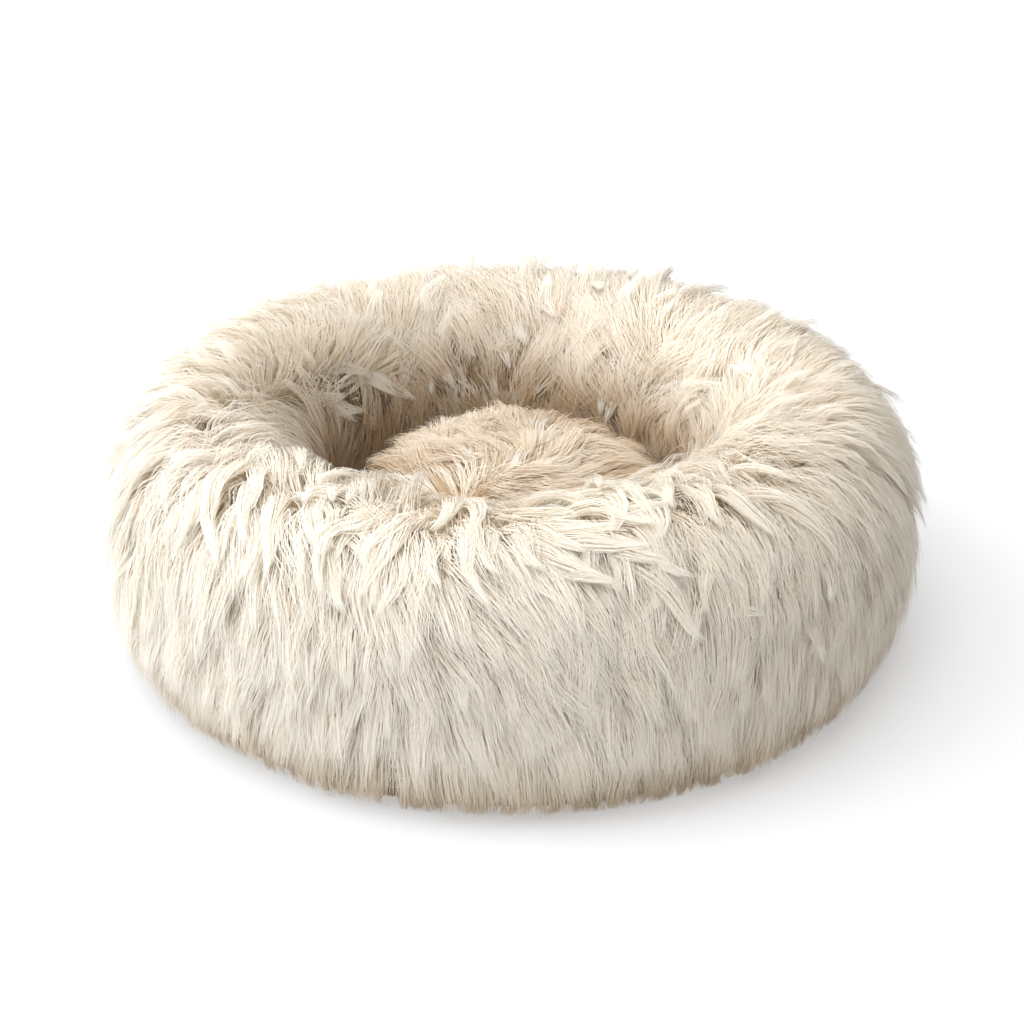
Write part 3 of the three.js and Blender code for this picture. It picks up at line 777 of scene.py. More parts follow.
def ribbons(name, form, paths, width, tints, rng):
    """One mesh of flat tapered hairs along the paths, each facing out from the form with a little roll."""
    count, points, _ = paths.shape
    rows = points - 1
    tangent = unit(np.gradient(paths, axis=1))
    _, across, up, radial = form.lie(paths)
    out = radial * across[..., None] + np.array([0, 0, 1.0]) * up[..., None]
    beside = unit(np.cross(tangent, out))
    face = unit(np.cross(beside, tangent))
    roll = rng.normal(0, 0.35, (count, 1, 1))
    beside = beside * np.cos(roll) + face * np.sin(roll)
    t = np.linspace(0, 1, points)[None, :-1, None]
    taper = 1.0 - 0.72 * t**1.6
    half = 0.5 * width[:, None, None] * taper * beside[:, :-1]
    body = np.stack([paths[:, :-1] - half, paths[:, :-1] + half], 2).reshape(count, rows * 2, 3)
    vertices = np.concatenate([body, paths[:, -1:]], 1)
    per = rows * 2 + 1
    first = (np.arange(count) * per)[:, None]
    row = np.arange(rows - 1)[None, :] * 2
    quads = np.stack([row, row + 1, row + 3, row + 2], -1)
    quads = (first[:, :, None] + quads).reshape(count, -1)
    last = (rows - 1) * 2
    tips = first + np.array([[last, last + 1, last + 2]])
    corners = np.concatenate([quads, tips], 1)
    starts = np.concatenate([np.arange(rows - 1) * 4, [(rows - 1) * 4]])
    per_loops = (rows - 1) * 4 + 3
    mesh = bpy.data.meshes.new(name)
    mesh.vertices.add(count * per)
    mesh.vertices.foreach_set("co", vertices.astype(np.float32).ravel())
    mesh.loops.add(count * per_loops)
    mesh.loops.foreach_set("vertex_index", corners.astype(np.int32).ravel())
    mesh.polygons.add(count * rows)
    offsets = (np.arange(count) * per_loops)[:, None] + starts[None, :]
    mesh.polygons.foreach_set("loop_start", offsets.astype(np.int32).ravel())
    mesh.polygons.foreach_set("use_smooth", np.ones(count * rows, bool))
    mesh.update(calc_edges=True)
    soft = unit(face[:, :-1] * 0.18 + out[:, :-1] * 0.82)
    shading = np.concatenate([np.repeat(soft, 2, axis=1), unit(face[:, -1:] * 0.18 + out[:, -1:] * 0.82)], 1)
    mesh.normals_split_custom_set_from_vertices(shading.reshape(-1, 3).astype(np.float32))
    level = np.arange(rows) / rows
    u = np.concatenate([np.tile([0.0, 1.0], rows), [0.5]])
    v = np.concatenate([np.repeat(level, 2), [1.0]])
    local = (corners[0] - first[0]).astype(int)
    strand = np.stack([u[local], v[local]], -1)
    put_uv(mesh, "strand", np.broadcast_to(strand, (count, per_loops, 2)))
    grid = math.ceil(math.sqrt(count))
    cell = np.stack([np.arange(count) % grid, np.arange(count) // grid], -1)[:, None, :]
    put_uv(mesh, "OFBake", (cell + 0.08 + 0.84 * strand[None]) / grid)
    tint = mesh.attributes.new("tint", "FLOAT", "POINT")
    tint.data.foreach_set("value", np.repeat(tints, per).astype(np.float32))
    return own_object(name, mesh)


def put_uv(mesh, name, values):
    layer = mesh.uv_layers.new(name=name)
    layer.data.foreach_set("uv", np.ascontiguousarray(values, np.float32).ravel())


def sector(points):
    """Which quarter of the ring each point is in, in the order of SIDES."""
    angle = np.arctan2(points[..., 1], points[..., 0]) + math.pi / 4
    return (np.floor(angle / (math.pi / 2)).astype(int)) % 4


# ---- Settings ----


class BedSettings(bpy.types.PropertyGroup):
    """Sizes of the bed's fur and filling."""

    pile: FloatProperty(
        name="Pile", description="Height of the lying fur over its backing", default=0.029, unit="LENGTH"
    )
    lock: FloatProperty(
        name="Lock length", description="Length of a combed-out lock", default=0.078, unit="LENGTH"
    )
    hair: FloatProperty(
        name="Hair width", description="Width of one ribbon of pile", default=0.00063, unit="LENGTH"
    )
    voxel: FloatProperty(
        name="Stuffing mesh", description="Face size of the stuffed forms", default=0.007, unit="LENGTH"
    )
    wall_hairs: IntProperty(name="Wall hairs", description="Long hairs on each wall panel", default=19200)
    wall_under: IntProperty(name="Wall underpile", description="Short hairs on each wall panel", default=6400)
    well_hairs: IntProperty(name="Well hairs", description="Long hairs on each well panel", default=8200)
    well_under: IntProperty(name="Well underpile", description="Short hairs on each well panel", default=3400)
    cushion_hairs: IntProperty(name="Cushion hairs", description="Long hairs on the cushion", default=18600)
    curls: IntProperty(
        name="Curled locks", description="Long curled locks over the front of the crown", default=96
    )
    hem_tufts: IntProperty(name="Hem tufts", description="Short pointed tufts round the hem", default=420)
    tufts: IntProperty(name="Crown tufts", description="Pointed tufts that stand off the crown", default=160)
    seed: IntProperty(name="Seed", description="Start of the random numbers that lay the fur", default=7)


class StageSettings(bpy.types.PropertyGroup):
    """The floor, the light and the view."""

    floor: FloatProperty(name="Floor", description="Width of the studio floor", default=14.0, unit="LENGTH")
    lens: FloatProperty(name="Lens", description="Focal length of the camera", default=70.0)
    distance: FloatProperty(
        name="Distance", description="From the camera to the bed", default=1.46, unit="LENGTH"
    )
    height: FloatProperty(
        name="Elevation", description="How far the camera looks down", default=math.radians(27), subtype="ANGLE"
    )
    light: FloatVectorProperty(
        name="Light colour", description="Colour of the main light", default=(1.0, 0.972, 0.93), subtype="COLOR"
    )


BUILT = {}


def settings():
    return bpy.context.scene.pet_bed


# ---- Operators ----


class PETBED_OT_fillings(bpy.types.Operator):
    """Makes the stuffed forms of the ring and the cushion, and the bags around them"""

    bl_idname = "pet_bed.fillings"
    bl_label = "Fillings and bags"

    def execute(self, context):
        look = materials()
        made = settings()
        ring = stuffed("bolster_filling", "bolster_fill", made.voxel, 0.004, 4.0, 0.008)
        pad = stuffed("cushion_filling", "cushion_fill", made.voxel * 0.8, 0.004, 4.0, 0.008)
        BUILT["ring"] = ring
        BUILT["pad"] = pad
        for obj, node, body, fill in ((ring, "bolster_fill", "bed", 0.8), (pad, "cushion_fill", "cushion", 0.7)):
            dress(obj, look["fibre"])
            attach(obj, body)
            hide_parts(node)
        bags = (
            ("bolster_upper_bag", ring, 0.092, 1, "bolster_bag_top", "bed"),
            ("bolster_lower_bag", ring, 0.092, -1, "bolster_bag_bottom", "bed"),
            ("cushion_upper_bag", pad, 0.066, 1, "cushion_bag_top", "cushion"),
            ("cushion_lower_bag", pad, 0.066, -1, "cushion_bag_bottom", "cushion"),
        )
        for name, source, waist, way, node, body in bags:
            bag = part_of(name, source, lambda c, w=waist, s=way: (c.z - w) * s > 0, 0.0014, 0.0008)
            dress(bag, look["nonwoven"])
            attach(bag, body)
            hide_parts(node)
        return {"FINISHED"}


def ring_groom(points, rng, made, parting, fields):
    """How the ring's locks lie: off the crown both ways, smoother down the sides, tangled along the crown."""
    count = len(points)
    radius = np.hypot(points[:, 0], points[:, 1])
    angle = np.arctan2(points[:, 1], points[:, 0])
    from_parting = radius - (RING.middle + parting(points))
    side = np.where(from_parting + 0.011 * rng.normal(size=count) > 0, 1.0, -1.0)
    crown = smooth_step(0.040, 0.0, np.abs(from_parting)) * smooth_step(0.09, 0.14, points[:, 2])
    front = smooth_step(0.0, 0.8, -np.sin(angle))
    inner = smooth_step(0.0, 0.04, RING.middle - 0.02 - radius)
    mess = crown * (0.35 + 0.65 * front)
    wild = 0.1 + 0.9 * front * smooth_step(0.02, 0.13, points[:, 2])
    turn = (0.3 + 0.2 * front) * fields["drift"](points) + (0.05 + 0.12 * wild) * rng.normal(size=count)
    turn = turn + (0.14 + 0.8 * mess + 0.45 * inner) * fields["mess"](points)
    length = made.lock * rng.uniform(0.8, 1.12, count)
    low = smooth_step(0.085, 0.02, points[:, 2]) * (radius > RING.middle)
    tuft = (rng.random(count) < 0.10) * smooth_step(0.06, 0.12, points[:, 2])
    return {
        "side": side,
        "length": length * (1 - 0.42 * low) * (1 - 0.2 * tuft),
        "turn": turn,
        "swirl": 0.45 * fields["sway"](points) + rng.normal(0, 0.30, count) * (0.25 + mess + 0.4 * wild),
        "lift": rng.uniform(0.7, 1.05, count) + 0.3 * crown + 0.25 * tuft,
        "pile": made.pile * rng.uniform(0.84, 1.06, count) * (1 + 0.08 * fields["swell"](points) + 0.22 * tuft),
        "droop": (0.30 + 0.2 * rng.random(count)) * (1 - 0.5 * tuft),
        "hem": 0.004 * rng.random(count),
        "clump": np.maximum(rng.uniform(0.12, 0.4, count) + 0.35 * wild + 0.2 * low + 0.2 * inner, 0.8 * tuft),
        "curl": (0.0004 + 0.0034 * wild + 0.005 * mess + 0.003 * inner) * rng.uniform(0.5, 1.3, count),
        "turns": rng.uniform(0.5, 1.1, count) * rng.choice([-1, 1], count),
        "phase": 2.5 * fields["sway"](points) + rng.normal(0, 0.8, count),
        "tone": rng.normal(size=count),
        "comb": np.zeros((count, 3)),
    }


def under_groom(groom):
    """The short underpile under the locks: the same lie, closer and straighter."""
    short = dict(groom)
    short["length"] = groom["length"] * 0.68
    short["pile"] = groom["pile"] * 0.66
    short["lift"] = groom["lift"] * 1.1
    short["curl"] = groom["curl"] * 0.5
    short["clump"] = groom["clump"] * 0.7
    return short


class PETBED_OT_ring_fur(bpy.types.Operator):
    """Grows the fur of the ring's wall and well panels on their knitted backing"""

    bl_idname = "pet_bed.ring_fur"
    bl_label = "Ring fur"

    def execute(self, context):
        look = materials()
        made = settings()
        rng = np.random.default_rng(made.seed)
        ring = BUILT["ring"]
        part_line = waves(rng, 5, 0.16, 0.34)
        fields = {
            "mess": waves(rng, 6, 0.07, 0.16),
            "drift": waves(rng, 5, 0.2, 0.5),
            "swell": waves(rng, 6, 0.06, 0.13),
            "sway": waves(rng, 6, 0.1, 0.25),
        }

        def parting(points):
            angle = np.arctan2(points[..., 1], points[..., 0])
            lean = -0.035 - 0.020 * np.cos(angle) - 0.018 * np.sin(angle)
            return lean + 0.009 * part_line(points)

        def groom_at(points, source):
            return ring_groom(points, source, made, parting, fields)

        def under_groom_at(points, source):
            return under_groom(groom_at(points, source))

        def outside(points):
            radius = np.hypot(points[..., 0], points[..., 1])
            high = (radius > RING.middle) & (points[..., 2] > RING.waist)
            return ((radius > HEM_ROOTS) | high).astype(float)

        def inside(points):
            radius = np.hypot(points[..., 0], points[..., 1])
            shown = np.where(points[..., 2] > 0.07, 1.0, 0.3)
            return ((radius <= RING.middle) & (points[..., 2] > 0.02)) * shown

        thin = 1.0
        beds = (
            ("wall", outside, made.wall_hairs, made.wall_under, 640, 900, 0.001),
            ("well", inside, made.well_hairs, made.well_under, 300, 400, WELL_FLOOR),
        )
        for word, keep, long_count, short_count, long_clumps, short_clumps, floor in beds:
            total = int(4 * long_count * thin)
            roots, paths, tints = locks(
                RING, ring, total, 4 * long_clumps, groom_at, LOCK_STEPS, rng, keep, floor
            )
            quarter = sector(roots)
            under_total = int(4 * short_count * thin)
            low_roots, low_paths, low_tints = locks(
                RING, ring, under_total, 4 * short_clumps, under_groom_at, UNDER_STEPS, rng, keep, floor
            )
            low_quarter = sector(low_roots)
            for i, side in enumerate(SIDES):
                node = f"{word}_fur_{side}"
                mine = quarter == i
                width = made.hair * rng.uniform(0.75, 1.25, int(mine.sum()))
                long_fur = ribbons(f"{word}_locks_{side}", RING, paths[mine], width, tints[mine], rng)
                # The well's locks take the darker copy of the fur, with its painted shade.
                dress(long_fur, look["fur" if word == "wall" else "well"])
                mine = low_quarter == i
                width = made.hair * UNDER_WIDTH * rng.uniform(0.75, 1.25, int(mine.sum()))
                short_fur = ribbons(
                    f"{word}_underpile_{side}", RING, low_paths[mine], width, low_tints[mine], rng
                )
                dress(short_fur, look["underfur"])
                backing = self.backing(f"{word}_backing_{side}", ring, i, word == "wall")
                dress(backing, look["knit"])
                for obj in (long_fur, short_fur, backing):
                    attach(obj, "bed")
                    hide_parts(node)
        return {"FINISHED"}

    def backing(self, name, ring, index, outer):
        """The knitted backing that a panel's fur is tufted in."""

        def keep(centre):
            radius = math.hypot(centre.x, centre.y)
            if (radius > RING.middle) != outer or centre.z < 0.016:
                return False
            return int(sector(np.array([[centre.x, centre.y, centre.z]]))[0]) == index

        return part_of(name, ring, keep, 0.0032, 0.0014)


class PETBED_OT_curls(bpy.types.Operator):
    """Lays the long curled locks over the front of the crown, and the pointed tufts that stand up behind"""

    bl_idname = "pet_bed.curls"
    bl_label = "Curled locks"

    def execute(self, context):
        look = materials()
        made = settings()
        rng = np.random.default_rng(made.seed + 2)
        ring = BUILT["ring"]
        sets = (
            ("front_curls", "wall_fur_front", self.front, made.curls, self.curled, 64, 8, 0.0088),
            ("crown_tufts", "wall_fur_back", self.behind, made.tufts, self.upright, 48, 5, 0.0085),
            ("hem_tufts", "wall_fur_front", self.hem, made.hem_tufts, self.hanging, 30, 4, 0.0065),
        )
        for name, node, keep, amount, groom_of, hairs, steps, radius in sets:
            centres, _ = scatter(ring, amount, rng, keep)
            groom = groom_of(centres, made, rng, waves(rng, 5, 0.1, 0.2))
            paths, tints = bundles(RING, centres, groom, hairs, steps, radius, rng)
            width = made.hair * rng.uniform(0.75, 1.25, len(paths))
            fur = ribbons(name, RING, paths, width, tints, rng)
            dress(fur, look["fur"])
            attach(fur, "bed")
            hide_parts(node)
        return {"FINISHED"}

    def front(self, points):
        radius = np.hypot(points[..., 0], points[..., 1])
        angle = np.arctan2(points[..., 1], points[..., 0])
        across = np.abs(radius - (RING.middle - 0.012)) < 0.034
        return (across & (points[..., 2] > 0.125)) * smooth_step(0.45, 0.95, -np.sin(angle + 0.12))

    def hem(self, points):
        radius = np.hypot(points[..., 0], points[..., 1])
        return ((radius > HEM_ROOTS) & (points[..., 2] > 0.018) & (points[..., 2] < 0.046)).astype(float)

    def behind(self, points):
        radius = np.hypot(points[..., 0], points[..., 1])
        angle = np.arctan2(points[..., 1], points[..., 0])
        high = (points[..., 2] > 0.115) & (radius > RING.middle - 0.045)
        return high * (0.15 + smooth_step(-0.35, 0.5, np.sin(angle)))

    def curled(self, centres, made, rng, sway):
        """Long waving locks that fall outwards and to one side, neighbours much alike."""
        count = len(centres)
        radius = np.hypot(centres[:, 0], centres[:, 1])
        inward = (radius < RING.middle - 0.03) & (rng.random(count) < 0.7)
        return {
            "side": np.where(inward, -1.0, 1.0),
            "comb": np.where(inward[:, None], np.array([-0.25, 0.1, 0.0]), np.array([0.4, -0.2, 0.0])),
            "length": made.lock * rng.uniform(0.75, 1.25, count) * np.where(inward, 0.8, 1.0),
            "turn": 0.4 * sway(centres) + rng.normal(0.0, 0.16, count),
            "swirl": 0.5 * sway(centres[:, ::-1]) + rng.normal(0.0, 0.25, count),
            "lift": rng.uniform(0.9, 1.25, count),
            "pile": made.pile * rng.uniform(0.85, 1.08, count),
            "droop": rng.uniform(0.25, 0.5, count),
            "hem": np.full(count, 0.004),
            "curl": rng.uniform(0.0025, 0.007, count),
            "turns": rng.uniform(1.0, 1.7, count),
            "phase": 2.5 * sway(centres * 1.3) + rng.normal(0, 0.5, count),
            "tone": rng.normal(size=count),
        }

    def hanging(self, centres, made, rng, sway):
        """Short pointed tufts that hang to the floor round the hem."""
        count = len(centres)
        return {
            "side": np.ones(count),
            "comb": np.zeros((count, 3)),
            "length": (centres[:, 2] + 0.012) * rng.uniform(0.9, 1.15, count),
            "turn": 0.25 * sway(centres) + rng.normal(0.0, 0.16, count),
            "swirl": rng.normal(0.0, 0.3, count),
            "lift": rng.uniform(1.0, 1.3, count),
            "pile": made.pile * rng.uniform(0.55, 1.0, count),
            "droop": rng.uniform(0.3, 0.6, count),
            "hem": 0.0005 + 0.005 * rng.random(count),
            "curl": rng.uniform(0.0005, 0.002, count),
            "turns": rng.uniform(0.4, 0.8, count) * rng.choice([-1, 1], count),
            "phase": rng.uniform(0, 2 * math.pi, count),
            "tone": rng.normal(size=count),
        }

    def upright(self, centres, made, rng, sway):
        """Short pointed tufts that stand off the crown."""
        count = len(centres)
        radius = np.hypot(centres[:, 0], centres[:, 1])
        return {
            "side": np.where(radius + rng.normal(0, 0.02, count) > RING.middle - 0.03, 1.0, -1.0),
            "comb": np.array([0.25, 0.25, 0.1]) * rng.normal(1.0, 0.6, (count, 1)),
            "length": made.lock * rng.uniform(0.54, 0.74, count),
            "turn": 0.5 * sway(centres) + rng.normal(0.0, 0.2, count),
            "swirl": 0.4 * sway(centres[:, ::-1]) + rng.normal(0.0, 0.3, count),
            "lift": rng.uniform(1.05, 1.4, count),
            "pile": made.pile * rng.uniform(1.15, 1.55, count),
            "droop": rng.uniform(0.05, 0.25, count),
            "hem": np.full(count, 0.004),
            "curl": rng.uniform(0.001, 0.003, count),
            "turns": rng.uniform(0.4, 0.8, count) * rng.choice([-1, 1], count),
            "phase": rng.uniform(0, 2 * math.pi, count),
            "tone": rng.normal(size=count),
        }


def cushion_groom(points, rng, made, drift_at, mess_at):
    """How the cushion's locks lie: out from a swirl on top, and down the side."""
    count = len(points)
    radius = np.hypot(points[:, 0], points[:, 1])
    top = smooth_step(0.085, 0.02, radius) * (points[:, 2] > 0.06)
    return {
        "side": np.ones(count),
        "comb": smooth_step(0.10, 0.03, radius)[:, None] * np.array([0.9, 1.1, 0.0]),
        "length": made.lock * rng.uniform(0.68, 0.95, count),
        "turn": 0.35 * drift_at(points) + top * 1.1 * mess_at(points) + 0.2 * rng.normal(size=count),
        "swirl": rng.normal(0, 0.4, count),
        "lift": rng.uniform(0.8, 1.2, count),
        "pile": made.pile * rng.uniform(0.75, 1.05, count) * (0.74 + 0.26 * (points[:, 2] > 0.08)),
        "droop": 0.28 + 0.15 * rng.random(count),
        "hem": np.full(count, 0.024) + 0.004 * rng.random(count),
        "clump": rng.uniform(0.5, 0.8, count),
        "curl": 0.004 * rng.uniform(0.5, 1.3, count),
        "turns": rng.uniform(0.5, 1.1, count) * rng.choice([-1, 1], count),
        "phase": rng.uniform(0, 2 * math.pi, count),
        "tone": rng.normal(size=count),
    }


class PETBED_OT_cushion_fur(bpy.types.Operator):
    """Grows the cushion's fur on its knitted backing"""

    bl_idname = "pet_bed.cushion_fur"
    bl_label = "Cushion fur"

    def execute(self, context):
        look = materials()
        made = settings()
        rng = np.random.default_rng(made.seed + 1)
        pad = BUILT["pad"]
        drift_at = waves(rng, 5, 0.12, 0.3)
        mess_at = waves(rng, 6, 0.05, 0.12)

        def groom_at(points, source):
            return cushion_groom(points, source, made, drift_at, mess_at)

        def under_groom_at(points, source):
            return under_groom(groom_at(points, source))

        def keep(points):
            return (points[..., 2] > 0.034) * np.where(points[..., 2] > 0.075, 1.0, 0.6)

        thin = 1.0
        _, paths, tints = locks(
            PAD, pad, int(made.cushion_hairs * thin), 700, groom_at, LOCK_STEPS, rng, keep, WELL_FLOOR
        )
        width = made.hair * rng.uniform(0.75, 1.25, len(paths))
        long_fur = ribbons("cushion_locks", PAD, paths, width, tints, rng)
        # The cushion's locks take the well's darker copy of the fur, with its painted shade, which stays on them
        # when the cushion is lifted out.
        dress(long_fur, look["well"])
        _, low, low_tints = locks(
            PAD, pad, int(CUSHION_UNDER * thin), 900, under_groom_at, UNDER_STEPS, rng, keep, WELL_FLOOR
        )
        width = made.hair * UNDER_WIDTH * rng.uniform(0.75, 1.25, len(low))
        short_fur = ribbons("cushion_underpile", PAD, low, width, low_tints, rng)
        dress(short_fur, look["underfur"])
        backing = part_of("cushion_backing", pad, lambda c: c.z > 0.03, 0.0032, 0.0014)
        dress(backing, look["knit"])
        for obj in (long_fur, short_fur, backing):
            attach(obj, "cushion")
            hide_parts("cushion_fur")
        return {"FINISHED"}


CLOTH = 0.0012
TOOTH_PITCH = 0.0015
STITCH_PITCH = 0.0042

# Each zip's middle radius, level, tape width, and its start and sweep in degrees.
ZIPS = {
    "bed_zip": {
        "body": "bed", "radius": 0.250, "level": 0.009, "tape": 0.0087, "start": 20, "sweep": 140,
    },
    "cushion_zip": {
        "body": "cushion", "radius": 0.101, "level": 0.0262, "tape": 0.0047, "start": 30, "sweep": 120,
    },
}
ROW = {"near": 0.00035, "far": 0.0031, "tape_gap": 0.0003}


def tape_edges(zip_size):
    """The radii between which a zip and its two tapes lie."""
    reach = ROW["far"] + ROW["tape_gap"] + zip_size["tape"]
    return zip_size["radius"] - reach, zip_size["radius"] + reach


class PETBED_OT_base(bpy.types.Operator):
    """Sews the base: cloth with its grip studs, floor lining, binding, facing tape and blank label"""

    bl_idname = "pet_bed.base"
    bl_label = "Base"

    def execute(self, context):
        look = materials()
        rng = np.random.default_rng(settings().seed + 3)
        self.base_cloth(look, rng)
        self.lining(look, rng)
        self.binding(look, rng)
        self.label(look)
        self.wadding(look, rng)
        return {"FINISHED"}

    def base_cloth(self, look, rng):
        flat, edge = 0.228, tape_edges(ZIPS["bed_zip"])[0] - 0.0004
        level = ZIPS["bed_zip"]["level"] - CLOTH / 2
        rings = [(flat * k / 18, 0.0013) for k in range(19)]
        rise = [(flat + (edge - flat) * t, 0.0013 + (level - 0.0013) * t) for t in (0.35, 0.7, 1.0)]
        cloth = turned("base_sheet", cloth_section(rings + rise, CLOTH), 0, 360, 144)
        pucker(cloth, edge, 0.016, 0.00022, 46, rng)
        stand_for(cloth, "base_cloth", "bed", look["oxford"])
        studs = self.studs()
        stand_for(studs, "base_cloth", "bed", look["stud"])
        cut = along(rings + rise)

    def studs(self):
        """Soft studs in a triangular grid, domed by surface tension as they cure."""
        pitch, reach, radius = 0.058, 0.212, 0.007
        bpy.ops.object.select_all(action="DESELECT")
        bpy.ops.mesh.primitive_cylinder_add(vertices=20, radius=radius, depth=0.0013, location=(0, 0, 0.00065))
        stud = bpy.context.object
        edge = stud.modifiers.new("edge", "BEVEL")
        edge.width = 0.0006
        edge.segments = 2
        edge.limit_method = "ANGLE"
        apply_modifiers(stud)
        points = coordinates(stud.data) + np.array([0, 0, 0.00065])
        set_coordinates(stud.data, points)
        stud.location = (0, 0, 0)
        rise = pitch * math.sin(math.pi / 3)
        rows = math.ceil(reach / rise)
        places = []
        for row in range(-rows, rows + 1):
            shift = 0 if row % 2 == 0 else pitch / 2
            for column in range(-8, 9):
                x, y = shift + column * pitch, row * rise
                if math.hypot(x, y) <= reach:
                    places.append(Matrix.Translation((x, y, 0)))
        return repeated("grip_studs", stud, places)

    def wadding(self, look, rng):
        """A carded fibre disc, a little uneven on top and thinner at its edge."""
        radius, low, high, edge = 0.226, 0.0032, 0.0101, 0.012
        rings = [(radius - edge) * k / 20 for k in range(21)]
        top = [(r, high) for r in reversed(rings)]
        rim = [(radius - 0.004, low + 0.0006), (radius, low + 0.003), (radius - 0.004, high - 0.0012)]
        pad = turned("base_wad", [(r, low) for r in rings] + rim + top, 0, 360, 96)
        points = coordinates(pad.data)
        lumps = waves(rng, 7, 0.03, 0.09)
        above = smooth_step(low, high, points[:, 2])
        points[:, 2] -= 0.0003 * above * (1 + np.clip(lumps(points * np.array([1, 1, 0])), -1, 1))
        set_coordinates(pad.data, points)
        stand_for(pad, "base_wadding", "bed", look["fibre"])

    def lining(self, look, rng):
        """The floor lining, which shows when the cushion is out."""
        radius, level = 0.240, 0.0104
        rings = [(radius * k / 24, level) for k in range(25)]
        cloth = turned("lining_sheet", cloth_section(rings, CLOTH), 0, 360, 144)
        points = coordinates(cloth.data)
        creases = waves(rng, 9, 0.02, 0.07)
        points[:, 2] += 0.00016 * creases(points * np.array([1, 1, 0]))
        set_coordinates(cloth.data, points)
        stand_for(cloth, "floor_lining", "bed", look["nonwoven"])

    def binding(self, look, rng):
        """The stitched binding under the fur's hem, and the facing tape where there is no zip."""
        outer = tape_edges(ZIPS["bed_zip"])[1]
        level = ZIPS["bed_zip"]["level"]
        low = level - 0.0003 - CLOTH
        near, far = outer + 0.0004, 0.2715
        middle, ply = (near + far) / 2, 0.0005
        turn = [(near, low), (far - 0.0003, low), (far, low + 0.0003)]
        back = [(far, low + CLOTH - 0.0003), (far - 0.0003, low + CLOTH), (near, low + CLOTH)]
        over, under = low + CLOTH - ply, low + ply
        inside = [(near, over), (far - ply, over), (far - ply, under), (near, under)]
        band = turned("hem_binding", turn + back + inside, 0, 360, 160)
        pucker(band, middle, 0.02, 0.00016, 64, rng)
        stand_for(band, "skirt_binding", "bed", look["binding"])
        places = round_places(middle, low + 0.0001, 0, 360, STITCH_PITCH)
        thread = repeated("hem_stitching", stitch_shape(), places)
        stand_for(thread, "skirt_binding", "bed", look["thread"])
        along(turn + back)
        facing("base_facing", ZIPS["bed_zip"], "facing_tape", "base_sheet", look)

    def label(self, look):
        """A blank satin label, folded in two and sewn in under the facing tape."""
        width, length, angle = 0.022, 0.038, math.radians(205)
        top, gap, root = 0.00795, 0.0011, 0.241
        bpy.ops.object.select_all(action="DESELECT")
        bpy.ops.mesh.primitive_grid_add(x_subdivisions=26, y_subdivisions=8, size=1, location=(0, 0, 0))
        label = bpy.context.object
        label.name = "blank_label"
        points = coordinates(label.data)
        s = (points[:, 0] + 0.5) * length
        bend = gap * math.pi / 2
        flat = (length - bend) / 2
        turn = np.clip((s - flat) / bend, 0, 1) * math.pi
        reach = np.minimum(s, flat) - np.maximum(s - flat - bend, 0)
        out = root + reach + gap / 2 * np.sin(turn)
        height = top - gap / 2 * (1 - np.cos(turn)) - 0.00015 * np.sin(points[:, 1] * 7) * reach / flat
        across = points[:, 1] * width
        x = out * math.cos(angle) - across * math.sin(angle)
        y = out * math.sin(angle) + across * math.cos(angle)
        set_coordinates(label.data, np.stack([x, y, height], 1))
        cloth = label.modifiers.new("cloth", "SOLIDIFY")
        cloth.thickness = 0.00025
        cloth.offset = 0
        apply_modifiers(label)
        label.data.shade_smooth()
        stand_for(label, "care_label", "bed", look["satin"])


def facing(name, zip_size, node, under, look):
    """A woven tape from one end of a zip round to the other, with a row of stitches along each edge."""
    inner, outer = tape_edges(zip_size)
    level = zip_size["level"] - CLOTH / 2
    clear = math.degrees(0.001 / zip_size["radius"])
    start = zip_size["start"] + zip_size["sweep"] + clear
    sweep = 360 - zip_size["sweep"] - 2 * clear
    lip = 0.0003
    section = [
        (inner, level + lip), (inner + lip, level), (outer - lip, level), (outer, level + lip),
        (outer, level + CLOTH), (inner, level + CLOTH),
    ]
    tape = turned(name, section, start, sweep, 120)
    stand_for(tape, node, zip_size["body"], look["tape"])
    places = []
    for radius in (inner + 0.0022, outer - 0.0022):
        places += round_places(radius, level, start, sweep, STITCH_PITCH)
    thread = repeated(f"{name}_stitching", stitch_shape(), places)
    stand_for(thread, node, zip_size["body"], look["thread"])


class PETBED_OT_cushion_base(bpy.types.Operator):
    """Sews the cushion's cloth underside and its facing tape"""

    bl_idname = "pet_bed.cushion_base"
    bl_label = "Cushion underside"

    def execute(self, context):
        look = materials()
        rng = np.random.default_rng(settings().seed + 4)
        edge, bottom = tape_edges(ZIPS["cushion_zip"])[0] - 0.0004, 0.0123
        level = ZIPS["cushion_zip"]["level"] - CLOTH / 2
        flat = edge - 0.014
        rings = [(flat * k / 10, bottom) for k in range(11)]
        rise = [(flat + (edge - flat) * t, bottom + (level - bottom) * t) for t in (0.25, 0.5, 0.75, 1.0)]
        cloth = turned("cushion_sheet", cloth_section(rings + rise, CLOTH), 0, 360, 96)
        pucker(cloth, edge, 0.016, 0.0003, 26, rng)
        stand_for(cloth, "cushion_cloth", "cushion", look["oxford"])
        cut = along(rings + rise)
        facing("cushion_facing", ZIPS["cushion_zip"], "cushion_facing_tape", "cushion_sheet", look)
        self.gusset(look)
        return {"FINISHED"}

    def gusset(self, look):
        """The knitted strip that joins the fur's backing to the tape round the underside."""
        side = [(0.1086, 0.0272), (0.1084, 0.034), (0.1062, 0.044), (0.1020, 0.054), (0.0985, 0.062)]
        inside = [(radius - CLOTH, height) for radius, height in reversed(side)]
        strip = turned("cushion_gusset", side + inside, 0, 360, 96)
        stand_for(strip, "cushion_fur", "cushion", look["knit"])
        along(side)


